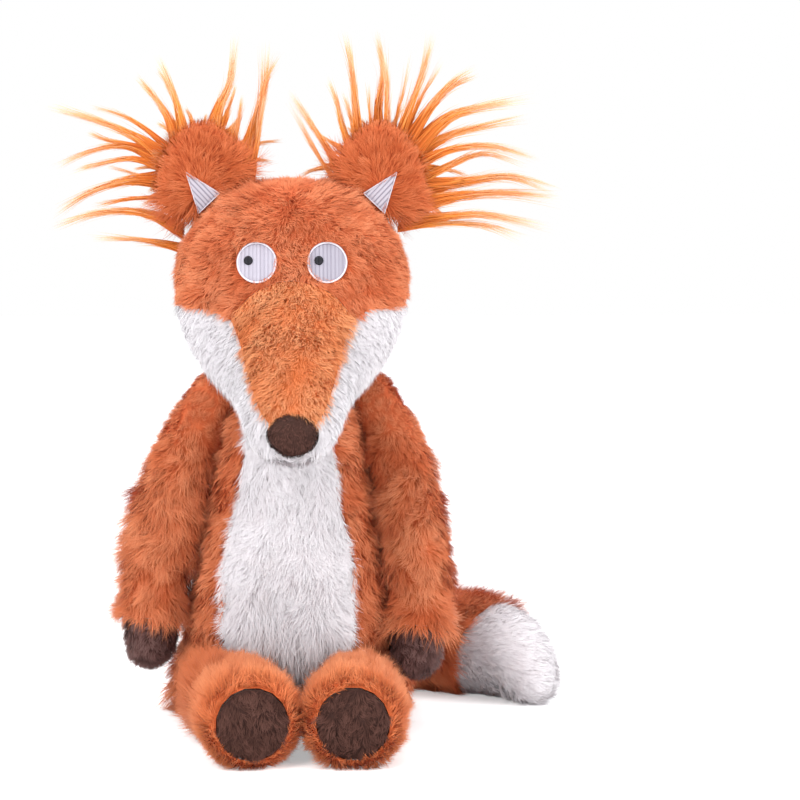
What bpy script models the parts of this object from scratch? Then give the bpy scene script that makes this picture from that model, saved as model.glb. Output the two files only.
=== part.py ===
"""A sitting plush fox: sewn fur-fabric panels over stuffing, with a shaggy rim of hair on each ear.

Metres, +Z up. The fox faces -Y, and its own left side is +X. The origin is under the middle of the
seat, on the surface it sits on. Every soft piece is a panel of the real thickness of its pile fabric,
open at its seams, wrapped round a core of stuffing.
"""

import math

import bmesh
import bpy
import numpy as np
from mathutils import Vector
from mathutils.bvhtree import BVHTree

# Fabric and fit
FABRIC = 0.004
CLEAR = 0.0003
SEAM_GAP = 0.0003
CORE_GAP = 0.0008
STITCH = 0.001
FLOOR_CUT = 0.0005

# Head and neck
NECK_HEIGHT = 0.2
NECK_RADIUS = 0.022
HEAD_RISE = 0.1
HEAD_HALF_WIDTH = 0.062
HEAD_LENGTH = 0.138
NOSE_HALF_WIDTH = 0.0125
NOSE_HALF_HEIGHT = 0.0108
NOSE_DEPTH = 0.0085
EYE_RADIUS = 0.0109
EYE_RIM = 0.0013
EYE_APART = 0.0378
EYE_RISE_SHARE = 0.565
PUPIL_RADIUS = 0.0023
PUPIL_ASIDE = 0.0045
PUPIL_LIFT = 0.0011

# Ears
EAR_WIDTH = 0.048
EAR_LENGTH = 0.038
EAR_HALF_THICK = 0.0045
EAR_ASIDE = 0.028
EAR_LEAN = 37.0
EAR_DEPTH = 0.006
EAR_EDGE = 0.0042
INNER_EAR_LENGTH = 0.022
HAIR_LENGTH = 0.066
HAIR_STRIP = 0.0035
HAIR_STRIP_WIDTH = 0.008

# Torso
NECK_SHOWS = 0.013
TORSO_HEIGHT = NECK_HEIGHT - NECK_SHOWS
TORSO_HALF_WIDTH = 0.061
TORSO_FRONT = 0.05
TORSO_BACK = 0.048
BELLY_TURN = -4.0
PELLET_DEPTH = 0.024

# Arms
SHOULDER_DROP = 0.0045
SHOULDER_HEIGHT = TORSO_HEIGHT - SHOULDER_DROP
SHOULDER_RADIUS = 0.0125
PAW_HEIGHT_LEFT = 0.0235
PAW_HEIGHT_RIGHT = 0.0282
ARM_SPREAD = 0.038
ARM_TURN_IN_LEFT = 0.014
ARM_TURN_IN_RIGHT = 0.0
ARM_RADIUS = 0.0165
ARM_FORWARD_LEFT = 0.026
ARM_FORWARD_RIGHT = 0.012

# Legs
HIP_RADIUS = 0.019
HIP_FORWARD = 0.036
HIP_APART = 0.07
LEG_LENGTH = 0.099
FOOT_RADIUS = 0.0238
FOOT_ROUND = 0.012
SOLE_RADIUS = 0.0185
SOLE_SWELL = 0.0035
LEG_UP = 25.0
FOOT_ASIDE_LEFT = 0.031
FOOT_ASIDE_RIGHT = 0.0225

# Tail
TAIL_ROOT_RADIUS = 0.015
TAIL_RADIUS = 0.0265
TAIL_REACH = 0.144
TAIL_BACK = 0.0175
TAIL_LEAN = 0.27

# Colours as linear values, then roughness
RUST = (0.50, 0.105, 0.025)
SNOUT = (0.60, 0.155, 0.040)
LONG_PILE = (0.75, 0.18, 0.03)
WHITE = (0.86, 0.84, 0.87)
BROWN = (0.055, 0.026, 0.020)
STITCH_WHITE = (0.78, 0.76, 0.84)
STITCH_BLACK = (0.010, 0.010, 0.014)
FILLING = (0.82, 0.81, 0.78)
PELLETS = (0.55, 0.55, 0.52)

# Head sections from back to nose: top y and z, underside y and z, half width. The y values are shares
# of HEAD_LENGTH ahead of the neck, the z values shares of HEAD_RISE above it.
HEAD_SHARES = (
    (-0.340, 0.46, -0.340, 0.46, 0.0),
    (-0.320, 0.62, -0.312, 0.29, 0.32),
    (-0.261, 0.78, -0.246, 0.15, 0.61),
    (-0.174, 0.91, -0.130, 0.04, 0.84),
    (-0.072, 0.98, 0.043, -0.01, 0.96),
    (0.029, 1.00, 0.217, -0.055, 1.0),
    (0.130, 0.97, 0.304, -0.12, 1.0),
    (0.232, 0.89, 0.377, -0.19, 0.95),
    (0.319, 0.77, 0.449, -0.24, 0.855),
    (0.391, 0.61, 0.514, -0.285, 0.71),
    (0.449, 0.47, 0.580, -0.325, 0.59),
    (0.536, 0.36, 0.667, -0.36, 0.50),
    (0.667, 0.22, 0.754, -0.39, 0.445),
    (0.797, 0.08, 0.833, -0.415, 0.40),
    (0.899, -0.05, 0.913, -0.43, 0.355),
    (0.949, -0.12, 0.957, -0.425, 0.30),
    (0.986, -0.18, 0.986, -0.395, 0.218),
)
HEAD_BACK_ROW = 5
SNOUT_ROW = 10
# The rust and white seam on the side of the head, in degrees above the section's middle, by row.
CHEEK_SEAM_DEGREES = (-11, -11, -11, -11, -11, -10, -7, -2, 6, 20, 28, 26, 26, 30, 34, 34, 32)
CHIN_DEGREES = 36.0
CROWN_COLUMNS = 12
CHEEK_COLUMNS = 5
CHIN_COLUMNS = 4

# Torso sections from the seat up: height as a share of TORSO_HEIGHT, then half width, front and back
# as shares of their own sizes, then the belly seam in degrees from the front.
TORSO_SHARES = (
    (0.0, 0.0, 0.0, 0.0, 31),
    (0.0, 0.93, 0.80, 0.83, 31),
    (0.021, 1.02, 0.86, 0.92, 31),
    (0.063, 1.06, 0.90, 0.98, 31),
    (0.103, 1.07, 0.94, 1.0, 31),
    (0.15, 1.05, 0.97, 1.0, 31),
    (0.18, 1.02, 0.98, 1.0, 32),
    (0.205, 0.99, 1.0, 0.99, 34),
    (0.235, 0.96, 1.0, 0.975, 36),
    (0.265, 0.94, 1.0, 0.96, 37),
    (0.32, 0.905, 1.0, 0.935, 39),
    (0.395, 0.87, 1.0, 0.905, 41),
    (0.475, 0.825, 0.98, 0.875, 43),
    (0.58, 0.765, 0.92, 0.82, 42),
    (0.685, 0.705, 0.84, 0.77, 38),
    (0.79, 0.645, 0.75, 0.70, 38),
    (0.885, 0.57, 0.67, 0.635, 38),
    (0.95, 0.485, 0.55, 0.57, 40),
    (1.0, 0.394, 0.44, 0.47, 42),
)
BASE_ROW = 3
BELLY_ROW = 7
BELLY_COLUMNS = 8
BACK_COLUMNS = 18

# Ear outline from its outer base corner over the tip to its inner base corner: along the base as a
# share of EAR_WIDTH from the middle, and outward as a share of EAR_LENGTH.
EAR_SHARES = (
    (-0.30, 0.0),
    (-0.46, 0.06),
    (-0.52, 0.24),
    (-0.49, 0.48),
    (-0.37, 0.68),
    (-0.2, 0.83),
    (0.0, 0.94),
    (0.19, 1.0),
    (0.35, 0.97),
    (0.46, 0.82),
    (0.51, 0.58),
    (0.52, 0.32),
    (0.46, 0.1),
    (0.30, 0.0),
)
INNER_EAR_SHARES = ((-0.42, 0.0), (-0.05, 1.0), (0.30, 0.08))
LOCK_SHARES = (0.95, 1.0, 0.9, 1.0, 0.93, 0.86, 0.95, 0.8, 0.72)
BACK_LOCK_SHARES = (0.78, 0.86, 0.8, 0.9, 0.76, 0.82, 0.7, 0.74, 0.6)
LOCK_STEPS = 5
INWARD_SHARE = 0.35

ROUND_LIMB = 16
ROUND_TAIL = 20
ROUND_EYE = 20
NECK_SPOKES = 20
NECK_RINGS = 12
DOME_DEGREES = (0.0, 32.0, 62.0)


def clear_scene():
    for old in list(bpy.data.objects):
        bpy.data.objects.remove(old, do_unlink=True)


def fabric(name, colour, roughness):
    made = bpy.data.materials.new(name)
    made.use_nodes = True
    shader = made.node_tree.nodes["Principled BSDF"]
    shader.inputs["Base Color"].default_value = (*colour, 1.0)
    shader.inputs["Roughness"].default_value = roughness
    shader.inputs["Metallic"].default_value = 0.0
    made.diffuse_color = (*colour, 1.0)
    return made


def pivot(name, place, parent=None):
    """An empty on a joint's axis, which carries the pieces of one moving body."""
    made = bpy.data.objects.new(name, None)
    made.empty_display_size = NECK_RADIUS
    bpy.context.collection.objects.link(made)
    made.location = place
    if parent is not None:
        made.parent = parent
        made.location = Vector(place) - world_place(parent)
    return made


def world_place(ob):
    place = Vector(ob.location)
    while ob.parent is not None:
        ob = ob.parent
        place += ob.location
    return place


def finish(name, bm, material, carrier=None):
    """Closes a mesh into a named object, on its carrier's origin where it moves."""
    bmesh.ops.remove_doubles(bm, verts=bm.verts[:], dist=CLEAR / 300)
    bmesh.ops.recalc_face_normals(bm, faces=bm.faces[:])
    if bm.calc_volume(signed=True) < 0:
        bmesh.ops.reverse_faces(bm, faces=bm.faces[:])
    mesh = bpy.data.meshes.new(name)
    if carrier is not None:
        bmesh.ops.translate(bm, verts=bm.verts[:], vec=-world_place(carrier))
    bm.to_mesh(mesh)
    bm.free()
    mesh.shade_smooth()
    mesh.set_sharp_from_angle(angle=math.radians(50))
    mesh.materials.append(material)
    made = bpy.data.objects.new(name, mesh)
    bpy.context.collection.objects.link(made)
    made.parent = carrier
    return made


def smooth_row(table, share):
    """A row of a table at a share of its length, on a smooth curve through its rows."""
    table = np.asarray(table, float)
    place = share * (len(table) - 1)
    low = min(int(place), len(table) - 2)
    part = place - low
    before = table[max(low - 1, 0)]
    start, end = table[low], table[low + 1]
    after = table[min(low + 2, len(table) - 1)]
    bend = 2 * before - 5 * start + 4 * end - after
    turn = 3 * (start - end) + after - before
    return start + part / 2 * (end - before + part * (bend + part * turn))


class Skin:
    """A closed tube of rings. Each ring has a middle, two half axes and the angles of its columns.

    inward moves a ring's middle and draw shrinks its half axes, both per metre of inset.
    """

    def __init__(self, middle, across, rise, angles, inward=None, draw=None, floor=None):
        self.middle = np.asarray(middle, float)
        self.across = np.asarray(across, float)
        self.rise = np.asarray(rise, float)
        self.angles = np.asarray(angles, float)
        rows = len(self.middle)
        self.inward = np.zeros((rows, 3)) if inward is None else np.asarray(inward, float)
        self.draw = np.ones(rows) if draw is None else np.asarray(draw, float)
        self.floor = floor
        self.rows = rows
        self.columns = self.angles.shape[1]

    def ring_point(self, row, column, inset):
        angle = self.angles[row, column % self.columns]
        point = self.middle[row] + self.inward[row] * inset
        for axis, part in ((self.across[row], math.cos(angle)), (self.rise[row], math.sin(angle))):
            size = np.linalg.norm(axis)
            if size > 0:
                point = point + axis / size * max(size - inset * self.draw[row], 0.0) * part
        return point

    def point(self, row, column, inset=0.0):
        low = min(int(math.floor(row)), self.rows - 2)
        left = int(math.floor(column))
        up, along = row - low, column - left
        total = np.zeros(3)
        for step, row_part in ((0, 1 - up), (1, up)):
            for side, column_part in ((0, 1 - along), (1, along)):
                if row_part * column_part:
                    total += row_part * column_part * self.ring_point(low + step, left + side, inset)
        if self.floor is not None:
            total[2] = max(total[2], self.floor + inset)
        return total

    def surface(self):
        """A tree of the outer surface, for finding what lies against it."""
        points = [Vector(self.point(i, j)) for i in range(self.rows) for j in range(self.columns)]
        faces = []
        for i in range(self.rows - 1):
            for j in range(self.columns):
                right = (j + 1) % self.columns
                low, high = i * self.columns, (i + 1) * self.columns
                faces.append((low + j, low + right, high + right))
                faces.append((low + j, high + right, high + j))
        return BVHTree.FromPolygons(points, faces)


def panel(name, skin, owns, material, carrier=None):
    """The fabric over the cells of a skin that owns(row, column) picks, with its walls at the seams."""
    columns = skin.columns
    cells = {(i, j) for i in range(skin.rows - 1) for j in range(columns) if owns(i, j)}
    bm = bmesh.new()
    made = {}

    def nudge(i, j):
        """How far this corner draws back from a seam, in rows and columns."""
        row_way = column_way = 0
        for di in (-1, 0):
            for dj in (-1, 0):
                if (i + di, (j + dj) % columns) in cells:
                    row_way += 2 * di + 1
                    column_way += 2 * dj + 1
        return np.sign(row_way), np.sign(column_way)

    def ended(i, j):
        """Whether this corner lies on a seam, and not on the skin's own end."""
        near = [(i + di, (j + dj) % columns) for di in (-1, 0) for dj in (-1, 0)]
        near = [cell for cell in near if 0 <= cell[0] < skin.rows - 1]
        return not all(cell in cells for cell in near)

    def corner(i, j, inset):
        key = (i, j % columns, inset)
        if key not in made:
            row, column = float(i), float(j % columns)
            if ended(i, j % columns):
                row_way, column_way = nudge(i, j % columns)
                here = skin.point(i, j % columns, FABRIC)
                if row_way:
                    there = skin.point(i + row_way, j % columns, FABRIC)
                    row += row_way * SEAM_GAP / 2 / np.linalg.norm(there - here)
                if column_way:
                    there = skin.point(i, (j + column_way) % columns, FABRIC)
                    step = np.linalg.norm(there - here)
                    if step > SEAM_GAP:
                        column += column_way * SEAM_GAP / 2 / step
            made[key] = bm.verts.new(skin.point(row, column % columns, inset))
        return made[key]

    for i, j in sorted(cells):
        ring = [(i, j), (i, j + 1), (i + 1, j + 1), (i + 1, j)]
        for inset in (0.0, FABRIC):
            a, b, c, d = [corner(row, column, inset) for row, column in ring]
            bm.faces.new((a, b, c))
            bm.faces.new((a, c, d))
        for (a, b), (c, d), other in (
            (ring[0], ring[1], (i - 1, j)),
            (ring[1], ring[2], (i, (j + 1) % columns)),
            (ring[2], ring[3], (i + 1, j)),
            (ring[3], ring[0], (i, (j - 1) % columns)),
        ):
            pole = other[0] < 0 or other[0] >= skin.rows - 1
            if other not in cells and not (pole and np.allclose(skin.point(a, b), skin.point(c, d))):
                if (c, d % columns) < (a, b % columns):
                    (a, b), (c, d) = (c, d), (a, b)
                face_corner, back_corner = corner(a, b, 0.0), corner(c, d, FABRIC)
                bm.faces.new((face_corner, corner(c, d, 0.0), back_corner))
                bm.faces.new((face_corner, back_corner, corner(a, b, FABRIC)))
    return finish(name, bm, material, carrier)


def core(name, skin, first, last, material, carrier=None, inset=FABRIC + CORE_GAP):
    """The filling inside a skin between two of its rows, closed at both ends."""
    places = [first, *range(math.floor(first) + 1, math.ceil(last)), last]
    bm = bmesh.new()
    rings = []
    for place in places:
        points = [skin.point(place, j, inset) for j in range(skin.columns)]
        rings.append([bm.verts.new(point) for point in points])
    for low, high in zip(rings, rings[1:]):
        for j in range(skin.columns):
            right = (j + 1) % skin.columns
            bm.faces.new((low[j], low[right], high[right]))
            bm.faces.new((low[j], high[right], high[j]))
    for ring in (rings[0], rings[-1]):
        middle = bm.verts.new(sum((v.co for v in ring), Vector()) / len(ring))
        for j in range(skin.columns):
            if (ring[j].co - ring[(j + 1) % skin.columns].co).length > CLEAR / 100:
                bm.faces.new((ring[j], ring[(j + 1) % skin.columns], middle))
    return finish(name, bm, material, carrier)


def slopes(points, radii, along):
    """How each ring moves along and shrinks per metre of inset, square to its own slope."""
    inward, draw = [], []
    last = len(points) - 1
    for i, way in enumerate(along):
        low, high = max(i - 1, 0), min(i + 1, last)
        run = abs(float(np.dot(points[high] - points[low], way)))
        climb = radii[high] - radii[low]
        slope = math.hypot(run, climb)
        at_pole = radii[i] == 0
        draw.append(0.0 if at_pole else run / slope)
        inward.append(way * (math.copysign(1.0, climb) if at_pole else climb / slope))
    return inward, draw


def limb_skin(points, radii, count, upright, lean=0.0, floor=None):
    """A skin along a route, each ring square to it, drawn in by its own slope when it is inset."""
    points, radii = np.asarray(points, float), np.asarray(radii, float)
    rows = len(points)
    along = np.gradient(points, axis=0)
    for i in (0, rows - 1):
        near = 1 if i == 0 else rows - 2
        along[i] = (points[near] - points[i]) * (1 if i == 0 else -1)
    along /= np.linalg.norm(along, axis=1)[:, None]
    angles = np.tile(np.arange(count) / count * 2 * math.pi + math.pi / count, (rows, 1))
    across, rise = [], []
    for i in range(rows):
        side = np.cross(along[i], upright)
        side /= np.linalg.norm(side)
        up = np.cross(side, along[i])
        up = up + along[i] * lean * math.sin(math.pi * i / (rows - 1))
        across.append(side * radii[i])
        rise.append(up * radii[i])
    inward, draw = slopes(points, radii, along)
    return Skin(points, across, rise, angles, inward, draw, floor)


def with_domes(route, radii, start, end):
    """A route with rings added past its ends, which close it as round as they are wide."""
    route, radii = [np.asarray(p, float) for p in route], list(radii)
    heads, head_radii, tails, tail_radii = [], [], [], []
    first = (route[0] - route[1]) / np.linalg.norm(route[0] - route[1])
    last = (route[-1] - route[-2]) / np.linalg.norm(route[-1] - route[-2])
    for degrees in DOME_DEGREES:
        turn = math.radians(degrees)
        heads.append(route[0] + first * radii[0] * start * math.cos(turn))
        head_radii.append(radii[0] * math.sin(turn))
        tails.insert(0, route[-1] + last * radii[-1] * end * math.cos(turn))
        tail_radii.insert(0, radii[-1] * math.sin(turn))
    return heads + route + tails, head_radii + radii + tail_radii


def seat_beside(tree, place, way, radius, spread=(Vector(),)):
    """Brings a ball, or a row of them, in along way until it lies CLEAR off a surface."""
    place, way = Vector(place), Vector(way).normalized()

    def touches(far):
        gaps = [tree.find_nearest(place + way * far + aside)[3] for aside in spread]
        return min(gaps) < radius + CLEAR

    far = 2 * TORSO_HALF_WIDTH
    while not touches(far - radius / 4):
        far -= radius / 4
    near = far - radius / 4
    for _ in range(30):
        middle = (near + far) / 2
        if touches(middle):
            near = middle
        else:
            far = middle
    return place + way * far


def head_skin():
    middle, across, rise, angles = [], [], [], []
    for row, (top_y, top_z, low_y, low_z, half) in enumerate(HEAD_SHARES):
        top = np.array((0.0, -top_y * HEAD_LENGTH, NECK_HEIGHT + top_z * HEAD_RISE))
        low = np.array((0.0, -low_y * HEAD_LENGTH, NECK_HEIGHT + low_z * HEAD_RISE))
        middle.append((top + low) / 2)
        across.append((half * HEAD_HALF_WIDTH, 0.0, 0.0))
        rise.append((top - low) / 2)
        angles.append(head_angles(CHEEK_SEAM_DEGREES[row]))
    forward = [np.array((0.0, -1.0, 0.0))] * len(middle)
    inward, draw = slopes(middle, [a[0] for a in across], forward)
    return Skin(middle, across, rise, angles, inward, draw)


def head_angles(seam):
    """Columns over the crown, down one cheek, under the chin and up the other cheek."""
    keys = (seam, 180 - seam, 270 - CHIN_DEGREES, 270 + CHIN_DEGREES, 360 + seam)
    counts = (CROWN_COLUMNS, CHEEK_COLUMNS, CHIN_COLUMNS, CHEEK_COLUMNS)
    spread = []
    for start, end, count in zip(keys, keys[1:], counts):
        spread += [start + (end - start) * k / count for k in range(count)]
    return np.radians(spread)


def neck_ball(bm, radius):
    bmesh.ops.create_uvsphere(bm, u_segments=NECK_SPOKES, v_segments=NECK_RINGS, radius=radius)
    bmesh.ops.translate(bm, verts=bm.verts[:], vec=(0.0, 0.0, NECK_HEIGHT))


def neck_cutter():
    """A ball whose flats clear the neck, which hollows what the neck turns in."""
    bm = bmesh.new()
    flats = math.cos(math.pi / NECK_SPOKES) * math.cos(math.pi / 2 / NECK_RINGS)
    neck_ball(bm, (NECK_RADIUS + CLEAR) / flats)
    mesh = bpy.data.meshes.new("neck_cutter")
    bm.to_mesh(mesh)
    bm.free()
    made = bpy.data.objects.new("neck_cutter", mesh)
    bpy.context.collection.objects.link(made)
    made.hide_render = True
    made.display_type = "WIRE"
    return made


def hollow(ob, cutter):
    cut = ob.modifiers.new("neck recess", "BOOLEAN")
    cut.operation = "DIFFERENCE"
    cut.object = cutter


def build_head(skin, cutter, carrier, cloth):
    chin_start = CROWN_COLUMNS + CHEEK_COLUMNS
    chin_end = chin_start + CHIN_COLUMNS
    last = skin.rows - 1
    regions = {
        "head_back": (lambda i, j: i < HEAD_BACK_ROW, "rust"),
        "head_crown": (lambda i, j: HEAD_BACK_ROW <= i < SNOUT_ROW and j < CROWN_COLUMNS, "rust"),
        "snout_top": (lambda i, j: i >= SNOUT_ROW and j < CROWN_COLUMNS, "snout"),
        "cheek_right": (lambda i, j: i >= HEAD_BACK_ROW and CROWN_COLUMNS <= j < chin_start, "white"),
        "chin": (lambda i, j: i >= HEAD_BACK_ROW and chin_start <= j < chin_end, "white"),
        "cheek_left": (lambda i, j: i >= HEAD_BACK_ROW and j >= chin_end, "white"),
    }
    made = {n: panel(n, skin, owns, cloth[m], carrier) for n, (owns, m) in regions.items()}
    filling = core("head_stuffing", skin, 0, last, cloth["filling"], carrier)
    hollow(made["head_back"], cutter)
    hollow(filling, cutter)
    build_nose(skin, cloth["brown"], carrier)
    tree = skin.surface()
    build_eye("left", tree, EYE_APART / 2, cloth, carrier)
    build_eye("right", tree, -EYE_APART / 2, cloth, carrier)


def build_nose(skin, material, carrier):
    """A padded button of pile fabric over the open end of the snout."""
    base = Vector(skin.middle[-1]) - Vector((0.0, CLEAR, 0.0))
    bm = bmesh.new()
    rings = []
    for degrees in (90, 66, 40):
        turn = math.radians(degrees)
        ring = []
        for k in range(ROUND_EYE):
            angle = 2 * math.pi * k / ROUND_EYE
            flare = 1 + math.sin(angle) / 10
            side = math.cos(angle) * NOSE_HALF_WIDTH * math.sin(turn) * flare
            up = math.sin(angle) * NOSE_HALF_HEIGHT * math.sin(turn)
            ring.append(bm.verts.new(base + Vector((side, -NOSE_DEPTH * math.cos(turn), up))))
        rings.append(ring)
    tip = bm.verts.new(base + Vector((0.0, -NOSE_DEPTH, 0.0)))
    for low, high in zip(rings, rings[1:]):
        for k in range(ROUND_EYE):
            right = (k + 1) % ROUND_EYE
            bm.faces.new((low[k], low[right], high[right], high[k]))
    for k in range(ROUND_EYE):
        bm.faces.new((rings[-1][k], rings[-1][(k + 1) % ROUND_EYE], tip))
    bm.faces.new(rings[0][::-1])
    finish("nose", bm, material, carrier)


def eye_height():
    return NECK_HEIGHT + EYE_RISE_SHARE * HEAD_RISE


def on_face(tree, x, z):
    """The place on the front of the head at a given width and height."""
    hit = tree.ray_cast(Vector((x, -2 * HEAD_LENGTH, z)), Vector((0.0, 1.0, 0.0)))[0]
    return hit


def stitched_ring(name, tree, x, z, inner, outer, low, high, material, carrier):
    """A disc or ring of embroidery that follows the face, from low to high above it."""
    bm = bmesh.new()
    spokes = range(ROUND_EYE)
    steps = 1 if inner or outer < EYE_RADIUS / 2 else 3
    radii = [outer + (inner - outer) * k / steps for k in range(steps + 1)]
    layers = []
    for lift in (low, high):
        rings = []
        for radius in radii:
            ring = []
            for k in spokes:
                angle = 2 * math.pi * k / ROUND_EYE
                point = on_face(tree, x + radius * math.cos(angle), z + radius * math.sin(angle))
                ring.append(bm.verts.new(point - Vector((0.0, lift, 0.0))))
            rings.append(ring)
        layers.append(rings)
    for rings in layers:
        for wide, narrow in zip(rings, rings[1:]):
            for k in spokes:
                right = (k + 1) % ROUND_EYE
                bm.faces.new((wide[k], wide[right], narrow[right], narrow[k]))
    for place in (0, -1) if inner else (0,):
        below, above = layers[0][place], layers[1][place]
        for k in spokes:
            right = (k + 1) % ROUND_EYE
            bm.faces.new((below[k], below[right], above[right], above[k]))
    finish(name, bm, material, carrier)


def build_eye(side, tree, x, cloth, carrier):
    seat = CLEAR * 2
    disc = EYE_RADIUS - EYE_RIM - CLEAR
    aside, lift = -PUPIL_ASIDE, PUPIL_LIFT
    stitched_ring(
        f"eye_{side}", tree, x, eye_height(), 0.0, disc, seat, seat + STITCH, cloth["stitch"], carrier
    )
    stitched_ring(
        f"eye_rim_{side}",
        tree,
        x,
        eye_height(),
        EYE_RADIUS - EYE_RIM,
        EYE_RADIUS,
        seat,
        seat + STITCH * 1.6,
        cloth["stitch"],
        carrier,
    )
    low = seat + STITCH + CLEAR
    stitched_ring(
        f"pupil_{side}",
        tree,
        x + aside,
        eye_height() + lift,
        0.0,
        PUPIL_RADIUS,
        low,
        low + STITCH,
        cloth["pupil"],
        carrier,
    )


def torso_front(height, natural):
    """The front wall, drawn back where a raised or hanging leg needs the room."""
    reach = HIP_RADIUS + 3 * CLEAR
    up = math.radians(LEG_UP)
    rise = height - hip_height()
    if rise <= 0:
        wall = -HIP_FORWARD + reach
    elif rise < reach * math.cos(up):
        wall = -HIP_FORWARD + math.sqrt(reach**2 - rise**2)
    else:
        wall = -HIP_FORWARD + (reach - rise * math.cos(up)) / math.sin(up)
    apart = wall + natural
    return (wall - natural + math.sqrt(apart**2 + (10 * CLEAR) ** 2)) / 2


def hip_height():
    return HIP_RADIUS + FLOOR_CUT


def torso_skin():
    middle, across, rise, angles = [], [], [], []
    for height, half, front, back, seam in TORSO_SHARES:
        z = height * TORSO_HEIGHT
        far = back * TORSO_BACK
        near = torso_front(z, front * TORSO_FRONT) if half else 0.0
        if half == 0:
            far = near = (TORSO_BACK - HIP_FORWARD + HIP_RADIUS) / 2
        middle.append(np.array((0.0, (far + near) / 2, z)))
        across.append((half * TORSO_HALF_WIDTH, 0.0, 0.0))
        rise.append((0.0, (far - near) / 2, 0.0))
        angles.append(torso_angles(seam))
    upward = [np.array((0.0, 0.0, 1.0))] * len(middle)
    inward, draw = slopes(middle, [a[0] for a in across], upward)
    return Skin(middle, across, rise, angles, inward, draw)


def torso_angles(seam):
    """Columns over the belly, then round the back."""
    keys = (270 + BELLY_TURN - seam, 270 + BELLY_TURN + seam, 630 + BELLY_TURN - seam)
    spread = []
    for start, end, count in zip(keys, keys[1:], (BELLY_COLUMNS, BACK_COLUMNS)):
        spread += [start + (end - start) * k / count for k in range(count)]
    return np.radians(spread)


def row_at(height):
    """The torso skin's fractional row at a height."""
    share = height / TORSO_HEIGHT
    heights = [row[0] for row in TORSO_SHARES]
    for i in range(1, len(heights) - 1):
        if heights[i] <= share <= heights[i + 1]:
            return i + (share - heights[i]) / (heights[i + 1] - heights[i])
    return len(heights) - 1


def build_torso(skin, cutter, cloth):
    last = skin.rows - 1
    regions = {
        "base_panel": (lambda i, j: i < BASE_ROW, "rust"),
        "belly_panel": (lambda i, j: i >= BELLY_ROW and j < BELLY_COLUMNS, "white"),
        "back_panel": (lambda i, j: i >= BASE_ROW and (i < BELLY_ROW or j >= BELLY_COLUMNS), "rust"),
    }
    made = {n: panel(n, skin, owns, cloth[m]) for n, (owns, m) in regions.items()}
    bottom = FABRIC + CORE_GAP
    top = bottom + PELLET_DEPTH
    core("pellet_bag", skin, row_at(bottom), row_at(top), cloth["pellets"])
    filling = core("torso_stuffing", skin, row_at(top + CORE_GAP), last, cloth["filling"])
    for ob in (made["belly_panel"], made["back_panel"], filling):
        hollow(ob, cutter)


def build_neck(material, carrier):
    bm = bmesh.new()
    neck_ball(bm, NECK_RADIUS)
    finish("neck", bm, material, carrier)


def arm_route(shoulder, side, turn_in, forward, drop):
    """Down and outward from the shoulder, then in again by the turn in, beside the hip."""
    shares = ((0.0, 0.0, 0.0), (0.40, 0.17, 0.2), (0.68, 0.42, 0.55), (0.92, 0.68, 0.8), (1.0, 0.90, 1.0))
    route, radii = [], []
    for k in range(9):
        out, down, ahead = smooth_row(shares, k / 8)
        aside = side * (out * ARM_SPREAD - down**2 * turn_in)
        place = Vector(shoulder) + Vector((aside, -ahead * forward, -down * drop))
        route.append(place)
        radii.append(float(smooth_row(((SHOULDER_RADIUS,), *arm_radii()), k / 8)[0]))
    return route, radii


def arm_radii():
    wide = ARM_RADIUS
    return ((0.87 * wide,), (0.97 * wide,), (wide,), (0.95 * wide,), (0.78 * wide,))


def build_arm(side, sign, turn_in, forward, paw_height, torso_tree, cloth):
    start = (0.0, 0.0, SHOULDER_HEIGHT)
    shoulder = seat_beside(torso_tree, start, (sign, 0.0, 0.0), SHOULDER_RADIUS)
    carrier = pivot(f"arm_{side}_pivot", shoulder)
    drop = SHOULDER_HEIGHT - paw_height
    route, radii = with_domes(*arm_route(shoulder, sign, turn_in, forward, drop), 1.0, 1.0)
    skin = limb_skin(route, radii, ROUND_LIMB, (0.0, 1.0, 0.0))
    last = skin.rows - 1
    seam = last - 4
    panel(f"arm_{side}", skin, lambda i, j: i < seam, cloth["rust"], carrier)
    panel(f"paw_{side}", skin, lambda i, j: i >= seam, cloth["brown"], carrier)
    core(f"arm_stuffing_{side}", skin, 0, last, cloth["filling"], carrier)


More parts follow.
